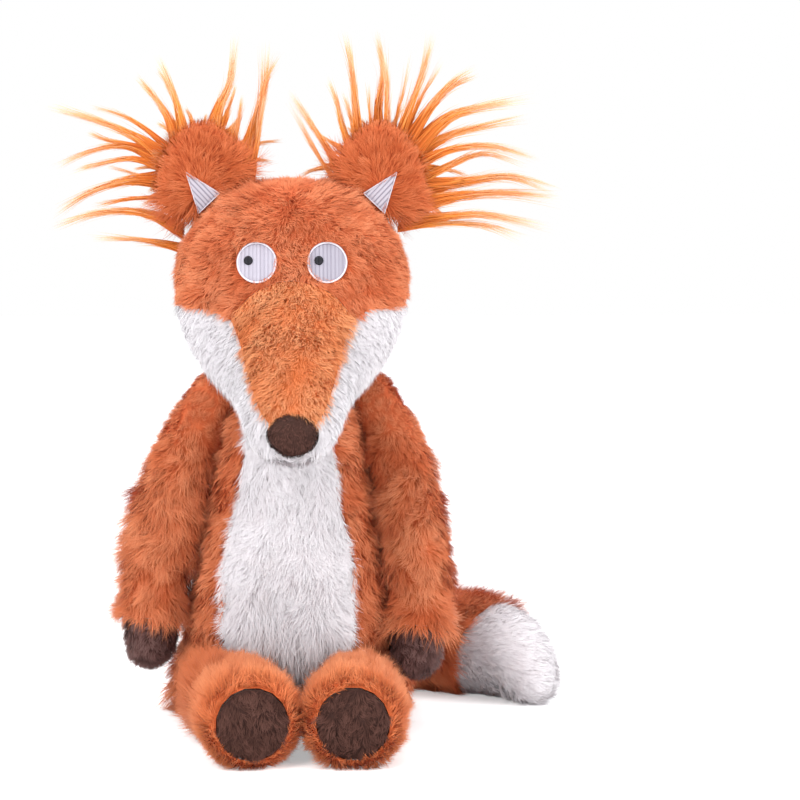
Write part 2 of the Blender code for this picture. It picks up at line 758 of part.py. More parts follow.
def build_leg(side, sign, foot_aside, torso_tree, cloth):
    start = (sign * HIP_APART / 2, 0.0, hip_height())
    hip = seat_beside(torso_tree, start, (0.0, -1.0, 0.0), HIP_RADIUS)
    foot = Vector((sign * foot_aside, hip.y - LEG_LENGTH, FOOT_RADIUS - FLOOR_CUT))
    carrier = pivot(f"leg_{side}_pivot", hip)
    way = (foot - hip).normalized()
    route, radii = [], []
    for k in range(6):
        share = k / 5
        route.append(hip.lerp(foot, share))
        swell = share * share * (3 - 2 * share)
        radii.append(HIP_RADIUS + (FOOT_RADIUS - HIP_RADIUS) * swell)
    for turn in (35, 62):
        angle = math.radians(turn)
        drop = (FOOT_RADIUS - SOLE_RADIUS) * (1 - math.cos(angle))
        route.append(foot + way * FOOT_ROUND * math.sin(angle))
        radii.append(FOOT_RADIUS - drop)
    route.append(foot + way * FOOT_ROUND)
    radii.append(SOLE_RADIUS)
    for share in (0.65, 0.35, 0.0):
        route.append(foot + way * (FOOT_ROUND + SOLE_SWELL * (1 - share**2)))
        radii.append(SOLE_RADIUS * share)
    heads = [hip - way * HIP_RADIUS * math.cos(math.radians(d)) for d in DOME_DEGREES]
    head_radii = [HIP_RADIUS * math.sin(math.radians(d)) for d in DOME_DEGREES]
    skin = limb_skin(heads + route, head_radii + radii, ROUND_LIMB, (0.0, 0.0, 1.0), floor=0.0)
    last = skin.rows - 1
    seam = last - 3
    panel(f"leg_{side}", skin, lambda i, j: i < seam, cloth["rust"], carrier)
    panel(f"sole_{side}", skin, lambda i, j: i >= seam, cloth["brown"], carrier)
    core(f"leg_stuffing_{side}", skin, 0, last, cloth["filling"], carrier)


def build_tail(torso_tree, cloth):
    height = TAIL_RADIUS - FLOOR_CUT
    root = seat_beside(torso_tree, (0.0, 0.0, height), (0.0, 1.0, 0.0), TAIL_ROOT_RADIUS)
    carrier = pivot("tail_pivot", root)
    shares = (
        (0.0, 0.0, 0.46),
        (0.09, 0.62, 0.72),
        (0.25, 0.98, 0.93),
        (0.42, 1.0, 1.0),
        (0.58, 0.85, 1.0),
        (0.73, 0.20, 0.98),
        (0.87, -1.0, 0.86),
        (0.95, -2.2, 0.46),
    )
    route, radii = [], []
    for k in range(13):
        out, back, wide = smooth_row(shares, k / 12)
        radii.append(float(wide) * TAIL_RADIUS if k else TAIL_ROOT_RADIUS)
        settled = min(out / shares[2][0], 1.0)
        drop = settled * (TAIL_RADIUS - radii[-1])
        route.append(root + Vector((out * TAIL_REACH, back * TAIL_BACK, -drop)))
    route, radii = with_domes(route, radii, 1.0, 0.8)
    skin = limb_skin(route, radii, ROUND_TAIL, (0.0, 0.0, 1.0), TAIL_LEAN, 0.0)
    last = skin.rows - 1
    seam = last - 6
    panel("tail", skin, lambda i, j: i < seam, cloth["rust"], carrier)
    panel("tail_tip", skin, lambda i, j: i >= seam, cloth["white"], carrier)
    core("tail_stuffing", skin, 0, last, cloth["filling"], carrier)


def ear_outline():
    """The ear's outline in its own plane, rounded below its base line by the root."""
    outline = [(a * EAR_WIDTH, b * EAR_LENGTH) for a, b in EAR_SHARES]
    left, right = outline[0][0], outline[-1][0]
    outline.insert(0, (left, -EAR_HALF_THICK))
    outline.append((right, -EAR_HALF_THICK))
    return np.array(outline)


def drawn_in(outline, amount):
    """An outline moved inward by an amount, along the middle of each corner."""
    ahead = np.roll(outline, -1, axis=0) - outline
    behind = outline - np.roll(outline, 1, axis=0)
    ahead /= np.linalg.norm(ahead, axis=1)[:, None]
    behind /= np.linalg.norm(behind, axis=1)[:, None]
    normal = np.stack((ahead[:, 1] + behind[:, 1], -ahead[:, 0] - behind[:, 0]), axis=1)
    length = np.linalg.norm(normal, axis=1)[:, None]
    normal /= length
    return outline + normal * amount / (length / 2)


class EarFrame:
    """Takes an ear's own plane (along the base, outward, back) to its place on the head."""

    def __init__(self, sign, root):
        lean = math.radians(EAR_LEAN)
        self.root = root
        self.along = Vector((-sign * math.cos(lean), 0.0, math.sin(lean)))
        self.out = Vector((sign * math.sin(lean), 0.0, math.cos(lean)))

    def place(self, along, out, back):
        return self.root + self.along * along + self.out * out + Vector((0.0, back, 0.0))


def bridge(bm, rings, close=True):
    for low, high in zip(rings, rings[1:]):
        count = len(low)
        for k in range(count if close else count - 1):
            right = (k + 1) % count
            bm.faces.new((low[k], low[right], high[right], high[k]))


def build_ear_plate(name, frame, facing, material, carrier):
    """One half of the ear, thick in the middle and rounded at its edge and root."""
    bm = bmesh.new()
    rings = []
    for depth in (CLEAR / 2, EAR_EDGE / 2, EAR_EDGE * 4 / 5, EAR_EDGE):
        inset = EAR_HALF_THICK - math.sqrt(EAR_HALF_THICK**2 - depth**2)
        ring = drawn_in(ear_outline(), inset)
        rings.append([bm.verts.new(frame.place(a, b, facing * depth)) for a, b in ring])
    bridge(bm, rings)
    bm.faces.new(rings[0])
    bm.faces.new(rings[-1])
    finish(name, bm, material, carrier)


def build_inner_ear(name, frame, material, carrier):
    """The embroidered triangle on the front of the ear."""
    bm = bmesh.new()
    base = -EAR_HALF_THICK / 5
    rings = []
    for depth in (EAR_EDGE + CLEAR, EAR_EDGE + CLEAR + STITCH):
        ring = []
        for along, out in INNER_EAR_SHARES:
            a, b = along * INNER_EAR_LENGTH, base + out * INNER_EAR_LENGTH
            ring.append(bm.verts.new(frame.place(a, b, -depth)))
        rings.append(ring)
    bridge(bm, rings)
    bm.faces.new(rings[0])
    bm.faces.new(rings[-1])
    finish(name, bm, material, carrier)


def grow_lock(bm, face, tip_way, bend, length):
    """Draws one face out into a curved lock that narrows to a point."""
    corners = list(face.verts)
    start = face.calc_center_median()
    offsets = [v.co - start for v in corners]
    bmesh.ops.delete(bm, geom=[face], context="FACES_ONLY")
    previous = corners
    for step in range(1, LOCK_STEPS + 1):
        share = step / LOCK_STEPS
        middle = start + tip_way * length * share + bend * length * share * share
        if step == LOCK_STEPS:
            tip = bm.verts.new(middle)
            for k, vert in enumerate(previous):
                bm.faces.new((vert, previous[(k + 1) % 4], tip))
            return
        width = (1 - share) ** 0.7 * (0.35 + 0.65 * (1 - share))
        ring = [bm.verts.new(middle + offset * width) for offset in offsets]
        for k in range(4):
            right = (k + 1) % 4
            bm.faces.new((previous[k], previous[right], ring[right], ring[k]))
        previous = ring


def build_ear_hair(name, frame, material, carrier):
    """A curved strip of long pile behind the ear's rim, and its locks."""
    bm = bmesh.new()
    outline = ear_outline()
    count = len(LOCK_SHARES)
    first, last = 2, len(outline) - 3
    low = EAR_EDGE + CLEAR
    high = low + HAIR_STRIP
    edge = drawn_in(outline, EAR_HALF_THICK / 2)
    inner = drawn_in(outline, HAIR_STRIP_WIDTH + EAR_HALF_THICK / 2)
    profile = []
    for k in range(count + 1):
        place = (first + (last - first) * k / count) / (len(outline) - 1)
        outer_point, inner_point = smooth_row(edge, place), smooth_row(inner, place)
        corners = ((outer_point, low), (outer_point, high), (inner_point, high), (inner_point, low))
        profile.append([bm.verts.new(frame.place(p[0], p[1], depth)) for p, depth in corners])
    outer_faces, back_faces = [], []
    for a, b in zip(profile, profile[1:]):
        outer_faces.append(bm.faces.new((a[0], a[1], b[1], b[0])))
        back_faces.append(bm.faces.new((a[1], a[2], b[2], b[1])))
        bm.faces.new((a[2], a[3], b[3], b[2]))
        bm.faces.new((a[3], a[0], b[0], b[3]))
    bm.faces.new(profile[0])
    bm.faces.new(profile[-1][::-1])
    hub = frame.place(0.0, EAR_LENGTH / 4, low)
    back = Vector((0.0, 1.0, 0.0))
    for k in range(count):
        away = outer_faces[k].calc_center_median() - hub
        away -= back * away.dot(back)
        if away.x * frame.root.x < 0:
            away.x *= INWARD_SHARE
        away.normalize()
        sag = Vector((0.0, 0.0, 1.0)) * (0.22 if k % 2 else 0.08)
        grow_lock(bm, outer_faces[k], away, sag - away / 12, HAIR_LENGTH * LOCK_SHARES[k])
        lifted = (away + back * 0.45).normalized()
        droop = Vector((0.0, 0.0, -1.0)) * (0.05 if k % 2 else 0.14)
        grow_lock(bm, back_faces[k], lifted, droop, HAIR_LENGTH * BACK_LOCK_SHARES[k])
    finish(name, bm, material, carrier)


def build_ear(side, sign, head_tree, head, cloth):
    lean = math.radians(EAR_LEAN)
    out = Vector((sign * math.sin(lean), 0.0, math.cos(lean)))
    start = Vector((sign * EAR_ASIDE, -EAR_DEPTH, NECK_HEIGHT + HEAD_RISE * 0.72))
    along = Vector((-sign * math.cos(lean), 0.0, math.sin(lean)))
    spread = [along * EAR_WIDTH * EAR_SHARES[0][0] * k / 3 for k in range(-3, 4)]
    root = seat_beside(head_tree, start, out, EAR_HALF_THICK, spread)
    carrier = pivot(f"ear_{side}_pivot", root, head)
    frame = EarFrame(sign, root)
    build_ear_plate(f"ear_front_{side}", frame, -1, cloth["rust"], carrier)
    build_ear_plate(f"ear_back_{side}", frame, 1, cloth["rust"], carrier)
    build_inner_ear(f"inner_ear_{side}", frame, cloth["stitch"], carrier)
    build_ear_hair(f"ear_hair_{side}", frame, cloth["long_pile"], carrier)


def main():
    clear_scene()
    cloth = {
        "rust": fabric("rust fur", RUST, 0.9),
        "snout": fabric("snout fur", SNOUT, 0.9),
        "long_pile": fabric("long pile", LONG_PILE, 0.75),
        "white": fabric("white fur", WHITE, 0.9),
        "brown": fabric("dark brown plush", BROWN, 0.95),
        "stitch": fabric("white embroidery", STITCH_WHITE, 0.45),
        "pupil": fabric("black embroidery", STITCH_BLACK, 0.5),
        "filling": fabric("stuffing", FILLING, 1.0),
        "pellets": fabric("pellets", PELLETS, 0.8),
    }
    cutter = neck_cutter()
    torso = torso_skin()
    torso_tree = torso.surface()
    build_torso(torso, cutter, cloth)
    neck = pivot("neck_pivot", (0.0, 0.0, NECK_HEIGHT))
    build_neck(cloth["rust"], neck)
    head = pivot("head_pivot", (0.0, 0.0, NECK_HEIGHT), neck)
    shape = head_skin()
    build_head(shape, cutter, head, cloth)
    head_tree = shape.surface()
    build_ear("left", 1, head_tree, head, cloth)
    build_ear("right", -1, head_tree, head, cloth)
    build_arm("left", 1, ARM_TURN_IN_LEFT, ARM_FORWARD_LEFT, PAW_HEIGHT_LEFT, torso_tree, cloth)
    build_arm("right", -1, ARM_TURN_IN_RIGHT, ARM_FORWARD_RIGHT, PAW_HEIGHT_RIGHT, torso_tree, cloth)
    build_leg("left", 1, FOOT_ASIDE_LEFT, torso_tree, cloth)
    build_leg("right", -1, FOOT_ASIDE_RIGHT, torso_tree, cloth)
    build_tail(torso_tree, cloth)


main()
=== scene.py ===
"""The looks of a sitting plush fox: its fur, embroidery and studio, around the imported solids."""

import math
from dataclasses import dataclass, replace

import bpy
import numpy as np
from mathutils import Matrix, Vector
from mathutils.bvhtree import BVHTree
from mathutils.kdtree import KDTree

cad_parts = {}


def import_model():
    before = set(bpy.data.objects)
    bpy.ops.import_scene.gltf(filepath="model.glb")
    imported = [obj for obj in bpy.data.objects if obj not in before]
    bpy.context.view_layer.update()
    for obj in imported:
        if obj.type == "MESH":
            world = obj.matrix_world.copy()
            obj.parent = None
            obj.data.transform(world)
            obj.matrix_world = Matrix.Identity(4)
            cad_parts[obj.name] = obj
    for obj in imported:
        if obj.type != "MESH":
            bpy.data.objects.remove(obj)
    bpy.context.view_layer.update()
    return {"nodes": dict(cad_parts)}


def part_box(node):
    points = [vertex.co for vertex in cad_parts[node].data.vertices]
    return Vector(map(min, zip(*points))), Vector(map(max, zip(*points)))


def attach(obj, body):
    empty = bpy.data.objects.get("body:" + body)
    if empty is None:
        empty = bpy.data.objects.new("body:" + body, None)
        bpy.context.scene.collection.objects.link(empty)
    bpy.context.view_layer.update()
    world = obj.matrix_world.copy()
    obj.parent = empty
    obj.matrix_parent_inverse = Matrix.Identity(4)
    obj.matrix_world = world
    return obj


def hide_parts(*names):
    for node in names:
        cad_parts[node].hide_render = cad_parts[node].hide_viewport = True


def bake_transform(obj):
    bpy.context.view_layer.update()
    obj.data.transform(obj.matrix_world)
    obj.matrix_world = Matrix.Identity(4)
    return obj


# Camera: the photograph's viewing angle, in metres and degrees, and the frame in pixels
FRAME_PIXELS = 800
FOCAL_PIXELS = 2682
SENSOR = 36.0
CAMERA_DISTANCE = 1.5
CAMERA_RISE = 5.0
CAMERA_TURN = 2.306
AIM_HEIGHT = 0.1776
FLOOR_GLOW = 0.4

# Fur, in metres
STRAND_WIDTH = 0.00030
MOST_STRANDS = 60000
SEAM_REACH = 0.002
FLOOR_GAP = 0.0004
FRONT_SHARE = 0.35
TONE_SIZE = 0.035
LUMP_SIZE = 0.014
LUMP_DEPTH = 0.0003

# How a short strand and a long one go from root to tip
SHORT_STEPS = np.array((0.0, 0.55, 1.0))
SHORT_WIDTHS = np.array((1.0, 0.75, 0.0))
LONG_STEPS = np.linspace(0.0, 1.0, 9)
LONG_WIDTHS = np.array((1.0, 1.0, 0.95, 0.9, 0.82, 0.7, 0.55, 0.35, 0.0))

# Thin trim sewn on top of the fur cloth, and hair on it, which leave the cloth under them whole
TRIM = ("eye_", "pupil_", "inner_ear_", "ear_hair_")

# Long wisps of each ear: breadth at the root, then four places (across, up), in millimetres
RIGHT_WISPS = (
    (7.0, (-72, 314), (-88, 325), (-111, 334), (-136, 341)),
    (3.0, (-68, 318), (-83, 330), (-96, 337), (-112, 341)),
    (4.0, (-76, 316), (-92, 320), (-104, 323), (-114, 327)),
    (5.0, (-73, 310), (-92, 319), (-112, 316), (-133, 307)),
    (4.0, (-72, 307), (-88, 312), (-107, 309), (-122, 305)),
    (8.0, (-70, 300), (-90, 300), (-113, 293), (-135, 280)),
    (2.5, (-70, 291), (-88, 290), (-100, 288), (-111, 286)),
    (7.0, (-60, 272), (-82, 282), (-108, 282), (-134, 274)),
    (5.0, (-56, 261), (-74, 266), (-92, 268), (-112, 269)),
    (3.0, (-67, 294), (-76, 298), (-88, 304), (-104, 308)),
    (7.0, (-62, 318), (-68, 334), (-76, 346), (-87, 358)),
    (6.0, (-59, 320), (-63, 340), (-68, 355), (-75, 370)),
    (3.0, (-60, 320), (-64, 342), (-70, 355), (-76, 363)),
    (9.0, (-46, 314), (-41, 338), (-34, 355), (-31, 381)),
    (5.0, (-36, 304), (-32, 320), (-29, 334), (-27, 347)),
    (8.0, (-30, 300), (-23, 326), (-16, 348), (-14, 378)),
    (4.0, (-23, 300), (-19, 325), (-14, 355), (-6, 371)),
    (3.0, (-23, 302), (-19, 321), (-17, 336), (-14, 350)),
)
LEFT_WISPS = (
    (6.0, (31, 295), (21, 316), (11, 331), (-1, 350)),
    (3.0, (27, 295), (19, 307), (9, 324), (-2, 345)),
    (5.0, (37, 306), (29, 328), (25, 345), (20, 358)),
    (5.0, (38, 308), (35, 328), (32, 339), (29, 349)),
    (6.0, (38, 311), (36, 338), (33, 363), (29, 383)),
    (3.0, (45, 311), (44, 328), (43, 341), (42, 354)),
    (7.0, (49, 313), (48, 339), (51, 361), (47, 383)),
    (4.0, (53, 314), (53, 338), (53, 357), (50, 373)),
    (2.0, (56, 315), (58, 333), (62, 349), (66, 371)),
    (6.0, (57, 315), (66, 341), (73, 361), (78, 383)),
    (2.0, (61, 317), (70, 341), (77, 354), (85, 367)),
    (7.0, (61, 315), (76, 339), (89, 352), (104, 359)),
    (3.0, (61, 315), (77, 341), (90, 355), (103, 363)),
    (9.0, (66, 314), (86, 334), (106, 341), (138, 346)),
    (6.0, (66, 311), (86, 324), (108, 330), (134, 335)),
    (6.0, (68, 308), (88, 317), (111, 319), (139, 311)),
    (5.0, (66, 297), (88, 308), (108, 315), (132, 308)),
    (9.0, (66, 296), (95, 299), (124, 302), (152, 293)),
    (9.0, (63, 284), (90, 291), (119, 293), (151, 290)),
    (7.0, (61, 277), (86, 280), (110, 281), (145, 273)),
    (4.0, (59, 274), (83, 276), (108, 275), (131, 267)),
)
WISP_LEANS = (-0.15, 0.4)
BACK_WISPS = 18
BACK_WISP_LEANS = (0.7, 1.8)
BACK_WISP_LENGTHS = (0.026, 0.044)
BACK_WISP_BREADTHS = (0.003, 0.006)
BACK_WISP_ROOTS = (0.008, 0.024)
BACK_WISP_DEPTH = 0.005
WISP_STRANDS = 24
WISP_WIDTH = 0.00036
EAR_BACK = 0.004

# Embroidery, in metres
THREAD = 0.00042
COLUMN = 0.0021
STITCH_RISE = 0.0011
BORDER_WIDTH = 0.0011
BORDER_RISE = 0.0011
# Painted shade of the satin fills as (grooves, crests): the lines between the columns are painted shade
# and the crests painted highlight. The left eye gets the darker pair as painted shade of the eye that
# turns from the light. The ear patches and pupils get the deepest painted shade in their grooves.
EYE_PAINTED_SHADES = {"right": (0.2, 0.41), "left": (0.08, 0.25)}
FILL_PAINTED_SHADES = (0.0, 0.55)
PATCH_OUT = 0.002
PATCH_DOWN = 0.0028
PATCH_SINK = 0.0006
THREAD_TUCK = 0.0008
EYE_SINK = 0.0002
EYE_FRONT = -0.03
EYE_RAGGED = 0.0006
EYE_EDGE = 0.0003
EYE_COVER = 0.003
PATCH_EDGE = 0.0003
PATCH_RAGGED = 0.0007
PATCH_COVER_SHARE = 0.6
PATCH_COVER = (0.0018, 0.0018, 0.0)

# The slots of the fur, and which way the tail runs to its tip
RUST, SNOUT, WHITE, BROWN = "rust fur", "snout fur", "white fur", "dark brown plush"
LONG = "long pile"
SIDES = ("left", "right")
TAIL_WAY = ((0, 0.1, 0.03), (0.12, 0.05, 0.02))
EAR_ROOT_DROP = np.array((0, 0, 0.012))

frame = None


@dataclass(frozen=True)
class Pile:
    """How the fur of one panel grows: sizes in metres, turns in degrees, the rest as shares."""

    length: float = 0.0098
    spacing: float = 0.00062
    lock: float = 0.0054
    lift: float = 0.34
    gather: float = 0.4
    swirl: float = 46.0
    swirl_size: float = 0.028
    uneven: float = 0.16
    splay: float = 0.14
    curl: float = 0.14
    width: float = STRAND_WIDTH
    front: tuple = (0.0, 0.0, 0.0)
    relief: float = 0.3
    shade: float = 0.0


# How the fur of each kind of panel grows
BODY_PILE = Pile()
TAIL_PILE = replace(BODY_PILE, shade=0.3, lift=0.26)
HEAD_PILE = replace(
    BODY_PILE, length=0.0078, lock=0.0058, gather=0.34, swirl=36, swirl_size=0.02, lift=0.34,
    relief=0.17, curl=0.1
)
FACE_PILE = replace(HEAD_PILE, front=(0.0, -0.6, 0.0))
SNOUT_PILE = replace(
    FACE_PILE, lock=0.0085, gather=0.12, swirl=26, swirl_size=0.016, lift=0.2, relief=0.06,
    splay=0.12, uneven=0.2, curl=0.06, front=(0.0, -0.9, 0.0)
)
WHITE_PILE = replace(
    BODY_PILE, length=0.0092, lock=0.0046, swirl=20, lift=0.22, gather=0.3, relief=0.12
)
BELLY_PILE = replace(
    WHITE_PILE, lock=0.0075, gather=0.4, swirl=40, swirl_size=0.03, relief=0.06, curl=0.06,
    front=(0.0, -0.9, 0.0)
)
CHEEK_PILE = replace(
    FACE_PILE, length=0.0066, swirl=7, lift=0.16, uneven=0.08, curl=0.06, relief=0.15
)
ARM_PILE = replace(
    BODY_PILE, lock=0.0072, gather=0.5, uneven=0.26, lift=0.4, swirl=58, swirl_size=0.034
)
BROWN_PILE = replace(
    BODY_PILE, length=0.005, lock=0.0056, gather=0.5, swirl=60, swirl_size=0.014, lift=0.3
)
NOSE_PILE = replace(BROWN_PILE, length=0.0022, lock=0.0016, gather=0.3, swirl=40)
NECK_PILE = replace(HEAD_PILE, length=0.0085, lift=0.25)
LEG_PILE = replace(
    BODY_PILE, length=0.0086, lift=0.85, lock=0.0062, swirl=40, front=(0.0, -0.9, 0.0),
    shade=1.0
)
EAR_PILE = replace(BODY_PILE, length=0.0085, lock=0.004, swirl=26, lift=0.4)
LONG_PILE = replace(BODY_PILE, length=0.013, spacing=0.0007, lock=0.006, lift=0.6, swirl=18)


def arrays_of(name):
    """A CAD node's points and triangles, with doubled points merged."""
    mesh = frame["nodes"][name].data
    mesh.calc_loop_triangles()
    points = np.empty(len(mesh.vertices) * 3)
    mesh.vertices.foreach_get("co", points)
    tris = np.empty(len(mesh.loop_triangles) * 3, np.int64)
    mesh.loop_triangles.foreach_get("vertices", tris)
    _, first, back = np.unique(
        np.round(points.reshape(-1, 3), 6), axis=0, return_index=True, return_inverse=True
    )
    return points.reshape(-1, 3)[first], back.reshape(-1)[tris].reshape(-1, 3)


def unit(vectors):
    size = np.linalg.norm(vectors, axis=-1, keepdims=True)
    return vectors / np.maximum(size, 1e-12)


def tree_of(names):
    """Sewn solids in one tree, to tell a panel's outside from its inside and its seams."""
    points, tris, base = [], [], 0
    for name in names:
        p, t = arrays_of(name)
        points.append(p)
        tris.append(t + base)
        base += len(p)
    return BVHTree.FromPolygons(np.concatenate(points).tolist(), np.concatenate(tris).tolist())


def outside_of(name, tree):
    """The triangles of a node that nothing else lies against, as points and triangles."""
    points, tris = arrays_of(name)
    corners = points[tris]
    normals = unit(np.cross(corners[:, 1] - corners[:, 0], corners[:, 2] - corners[:, 0]))
    centres = corners.mean(1)
    open_air = [
        tree.ray_cast(Vector(c + n * SEAM_REACH / 40), Vector(n), SEAM_REACH)[0] is None
        for c, n in zip(centres, normals)
    ]
    kept = tris[np.array(open_air)]
    used, back = np.unique(kept, return_inverse=True)
    return points[used], back.reshape(-1, 3)


def vertex_normals(points, tris):
    corners = points[tris]
    face = np.cross(corners[:, 1] - corners[:, 0], corners[:, 2] - corners[:, 0])
    total = np.zeros_like(points)
    for k in range(3):
        np.add.at(total, tris[:, k], face)
    return unit(total)


def rounded(points, tris):
    """Each triangle in four, with the new points raised onto the curve of the surface."""
    normals = vertex_normals(points, tris)
    edges = np.concatenate((tris[:, (0, 1)], tris[:, (1, 2)], tris[:, (2, 0)]))
    pairs, back = np.unique(np.sort(edges, 1), axis=0, return_inverse=True)
    back = back.reshape(-1)
    a, b = points[pairs[:, 0]], points[pairs[:, 1]]
    middle = (a + b) / 2
    raised = []
    for end, k in ((a, 0), (b, 1)):
        n = normals[pairs[:, k]]
        raised.append(middle - n * ((middle - end) * n).sum(1, keepdims=True))
    new = middle * 0.4 + (raised[0] + raised[1]) * 0.3
    count = len(tris)
    mid = back + len(points)
    ab, bc, ca = mid[:count], mid[count : 2 * count], mid[2 * count :]
    a, b, c = tris.T
    finer = np.concatenate(
        [np.stack(t, 1) for t in ((a, ab, ca), (b, bc, ab), (c, ca, bc), (ab, bc, ca))]
    )
    return np.concatenate((points, new)), finer


def ripple(places, size, rng):
    """A smooth random value from -1 to 1 over places, with hills of about the given size."""
    total = np.zeros(len(places))
    waves = 7
    for _ in range(waves):
        way = unit(rng.normal(size=3))
        pitch = 2 * math.pi / (size * rng.uniform(0.7, 1.6))
        total += np.sin(places @ way * pitch + rng.uniform(0, 2 * math.pi))
    return np.clip(total / math.sqrt(waves), -1.5, 1.5)


def sampled(points, tris, count, rng):
    """Random places on a surface, with smooth normals."""
    corners = points[tris]
    area = np.linalg.norm(
        np.cross(corners[:, 1] - corners[:, 0], corners[:, 2] - corners[:, 0]), axis=1
    )
    order = rng.choice(len(tris), count, p=area / area.sum())
    u, v = rng.random((2, count))
    over = u + v > 1
    u[over], v[over] = 1 - u[over], 1 - v[over]
    shares = np.stack((1 - u - v, u, v), 1)
    normals = vertex_normals(points, tris)[tris[order]]
    places = (corners[order] * shares[:, :, None]).sum(1)
    return places, unit((normals * shares[:, :, None]).sum(1))


def surface_area(points, tris):
    corners = points[tris]
    cross = np.cross(corners[:, 1] - corners[:, 0], corners[:, 2] - corners[:, 0])
    return np.linalg.norm(cross, axis=1).sum() / 2


def turned(vectors, axes, angles):
    """Vectors turned about axes by angles in radians."""
    c, s = np.cos(angles)[:, None], np.sin(angles)[:, None]
    dot = (vectors * axes).sum(1, keepdims=True)
    return vectors * c + np.cross(axes, vectors) * s + axes * dot * (1 - c)


def nearest_lock(places, locks):
    tree = KDTree(len(locks))
    for i, p in enumerate(locks):
        tree.insert(p, i)
    tree.balance()
    return np.array([tree.find(p)[1] for p in places])


def ribbons(curve, facing, width, shares):
    """Tapered ribbons along curves: their points, and the triangles that join them."""
    count, steps = curve.shape[:2]
    way = unit(np.gradient(curve, axis=1))
    flat = unit(np.cross(way, facing))
    half = flat * (np.asarray(shares)[None, :, None] * width / 2)
    left, right = curve - half, curve + half
    points = np.concatenate((left[:, :-1], right[:, :-1], curve[:, -1:]), 1)
    pattern = []
    last = steps - 1
    for k in range(last - 1):
        pattern += [(k, last + k, last + k + 1), (k, last + k + 1, k + 1)]
    pattern.append((last - 1, 2 * last - 1, 2 * last))
    tris = np.arange(count)[:, None, None] * (2 * last + 1) + np.array(pattern)
    return points.reshape(-1, 3), tris.reshape(-1, 3)


def ribbon_map(tone, steps):
    """Bake places for ribbons: across is the strand's tone, up is how far it is to its tip."""
    last = len(steps) - 1
    across = np.array([0.0] * last + [0.015] * last + [0.0075])
    u = np.clip(tone, 0.0, 0.985)[:, None] + across
    v = np.broadcast_to(np.array((*steps[:-1], *steps[:-1], steps[-1])), u.shape)
    return np.stack((u, v), 2).reshape(-1, 2)


def facing_out(facing, way, normals, front):
    """Facings turned over where a strand's front would look away from the front of its panel."""
    flat = facing - way * (facing * way).sum(1, keepdims=True)
    away = (flat * (normals * 0.5 + front)).sum(1, keepdims=True) < 0
    return np.where(away, -facing, facing)


def strands(places, normals, flow, pile, bare, grow, rng):
    """Short fur rooted at places: its points, triangles, bake places and shading normals."""
    count = len(places)
    lock_count = max(4, int(count * pile.spacing**2 / pile.lock**2))
    chosen = rng.choice(count, min(lock_count, count), replace=False)
    lock = nearest_lock(places, places[chosen])
    own = chosen[lock]

    lay = flow(places, normals)
    lay = unit(lay - normals * (lay * normals).sum(1, keepdims=True))
    wide, small = ripple(places, pile.swirl_size, rng), ripple(places, pile.swirl_size / 3, rng)
    turn = np.radians(pile.swirl) * (0.7 * wide + 0.45 * small + 0.25 * rng.normal(size=count))
    lay = turned(lay, normals, turn)
    hills = ripple(places, pile.lock * 2, rng)
    lift = np.clip(pile.lift * (1 + 0.4 * hills + 0.25 * rng.normal(size=count)), 0.05, 1.5)
    lift = lift[:, None]
    first = unit(normals * (0.5 + lift) + lay * 0.6)
    last = unit(normals * lift + lay)
    long = 1 + pile.uneven * (hills + 0.4 * rng.normal(size=len(chosen))[lock])
    side = np.cross(normals, lay)
    phase = rng.uniform(0, 2 * math.pi, len(chosen))[lock]

    grown = grow(places)
    long = np.clip(long, 0.4, 1.7) * grown
    size = (pile.length * long * rng.uniform(0.65, 1.0, count))[:, None]
    stray = rng.normal(size=(count, 3)) * pile.splay
    tip = pile.gather * rng.uniform(0.3, 1.0, count)[:, None]
    curve = []
    for t in SHORT_STEPS:
        bend = first * t * (1 - t) + (first + last) / 2 * t * t
        wave = pile.curl * t * np.sin(2.6 * t + phase)[:, None] * side
        inward = (places[own] - places) * tip * t**1.2
        curve.append(places + size * (bend + wave + stray * t * t) + inward)
    curve = np.stack(curve, 1)
    curve[:, :, 2] = np.maximum(curve[:, :, 2], FLOOR_GAP)

    tone = 0.5 + 0.12 * rng.normal(size=len(chosen))[lock] + 0.1 * rng.normal(size=count)
    tone += 0.18 * hills + 0.14 * ripple(places, TONE_SIZE, rng)
    tone -= pile.shade * np.maximum(grown - 1, 0)
    keep = ~bare(curve[:, -1]) & ~bare(curve[:, 1])
    curve, normals, tone = curve[keep], normals[keep], tone[keep]
    way = unit(curve[:, -1] - curve[:, 0])
    roll = rng.uniform(-0.9, 0.9, len(curve))
    facing = facing_out(turned(normals, way, roll), way, normals, pile.front)
    points, tris = ribbons(curve, facing[:, None, :], pile.width, SHORT_WIDTHS)
    shading = unit(
        normals + facing * pile.relief + lay[keep] * 0.12 + np.asarray(pile.front) * FRONT_SHARE
    )
    per_strand = 2 * len(SHORT_STEPS) - 1
    return points, tris, ribbon_map(tone, SHORT_STEPS), np.repeat(shading, per_strand, 0)


def nothing_bare(places):
    return np.zeros(len(places), bool)


def evenly(places):
    return np.ones(len(places))


def ramp(values, start, end):
    """From 0 at start to 1 at end, smoothly."""
    t = np.clip((values - start) / (end - start), 0, 1)
    return t * t * (3 - 2 * t)


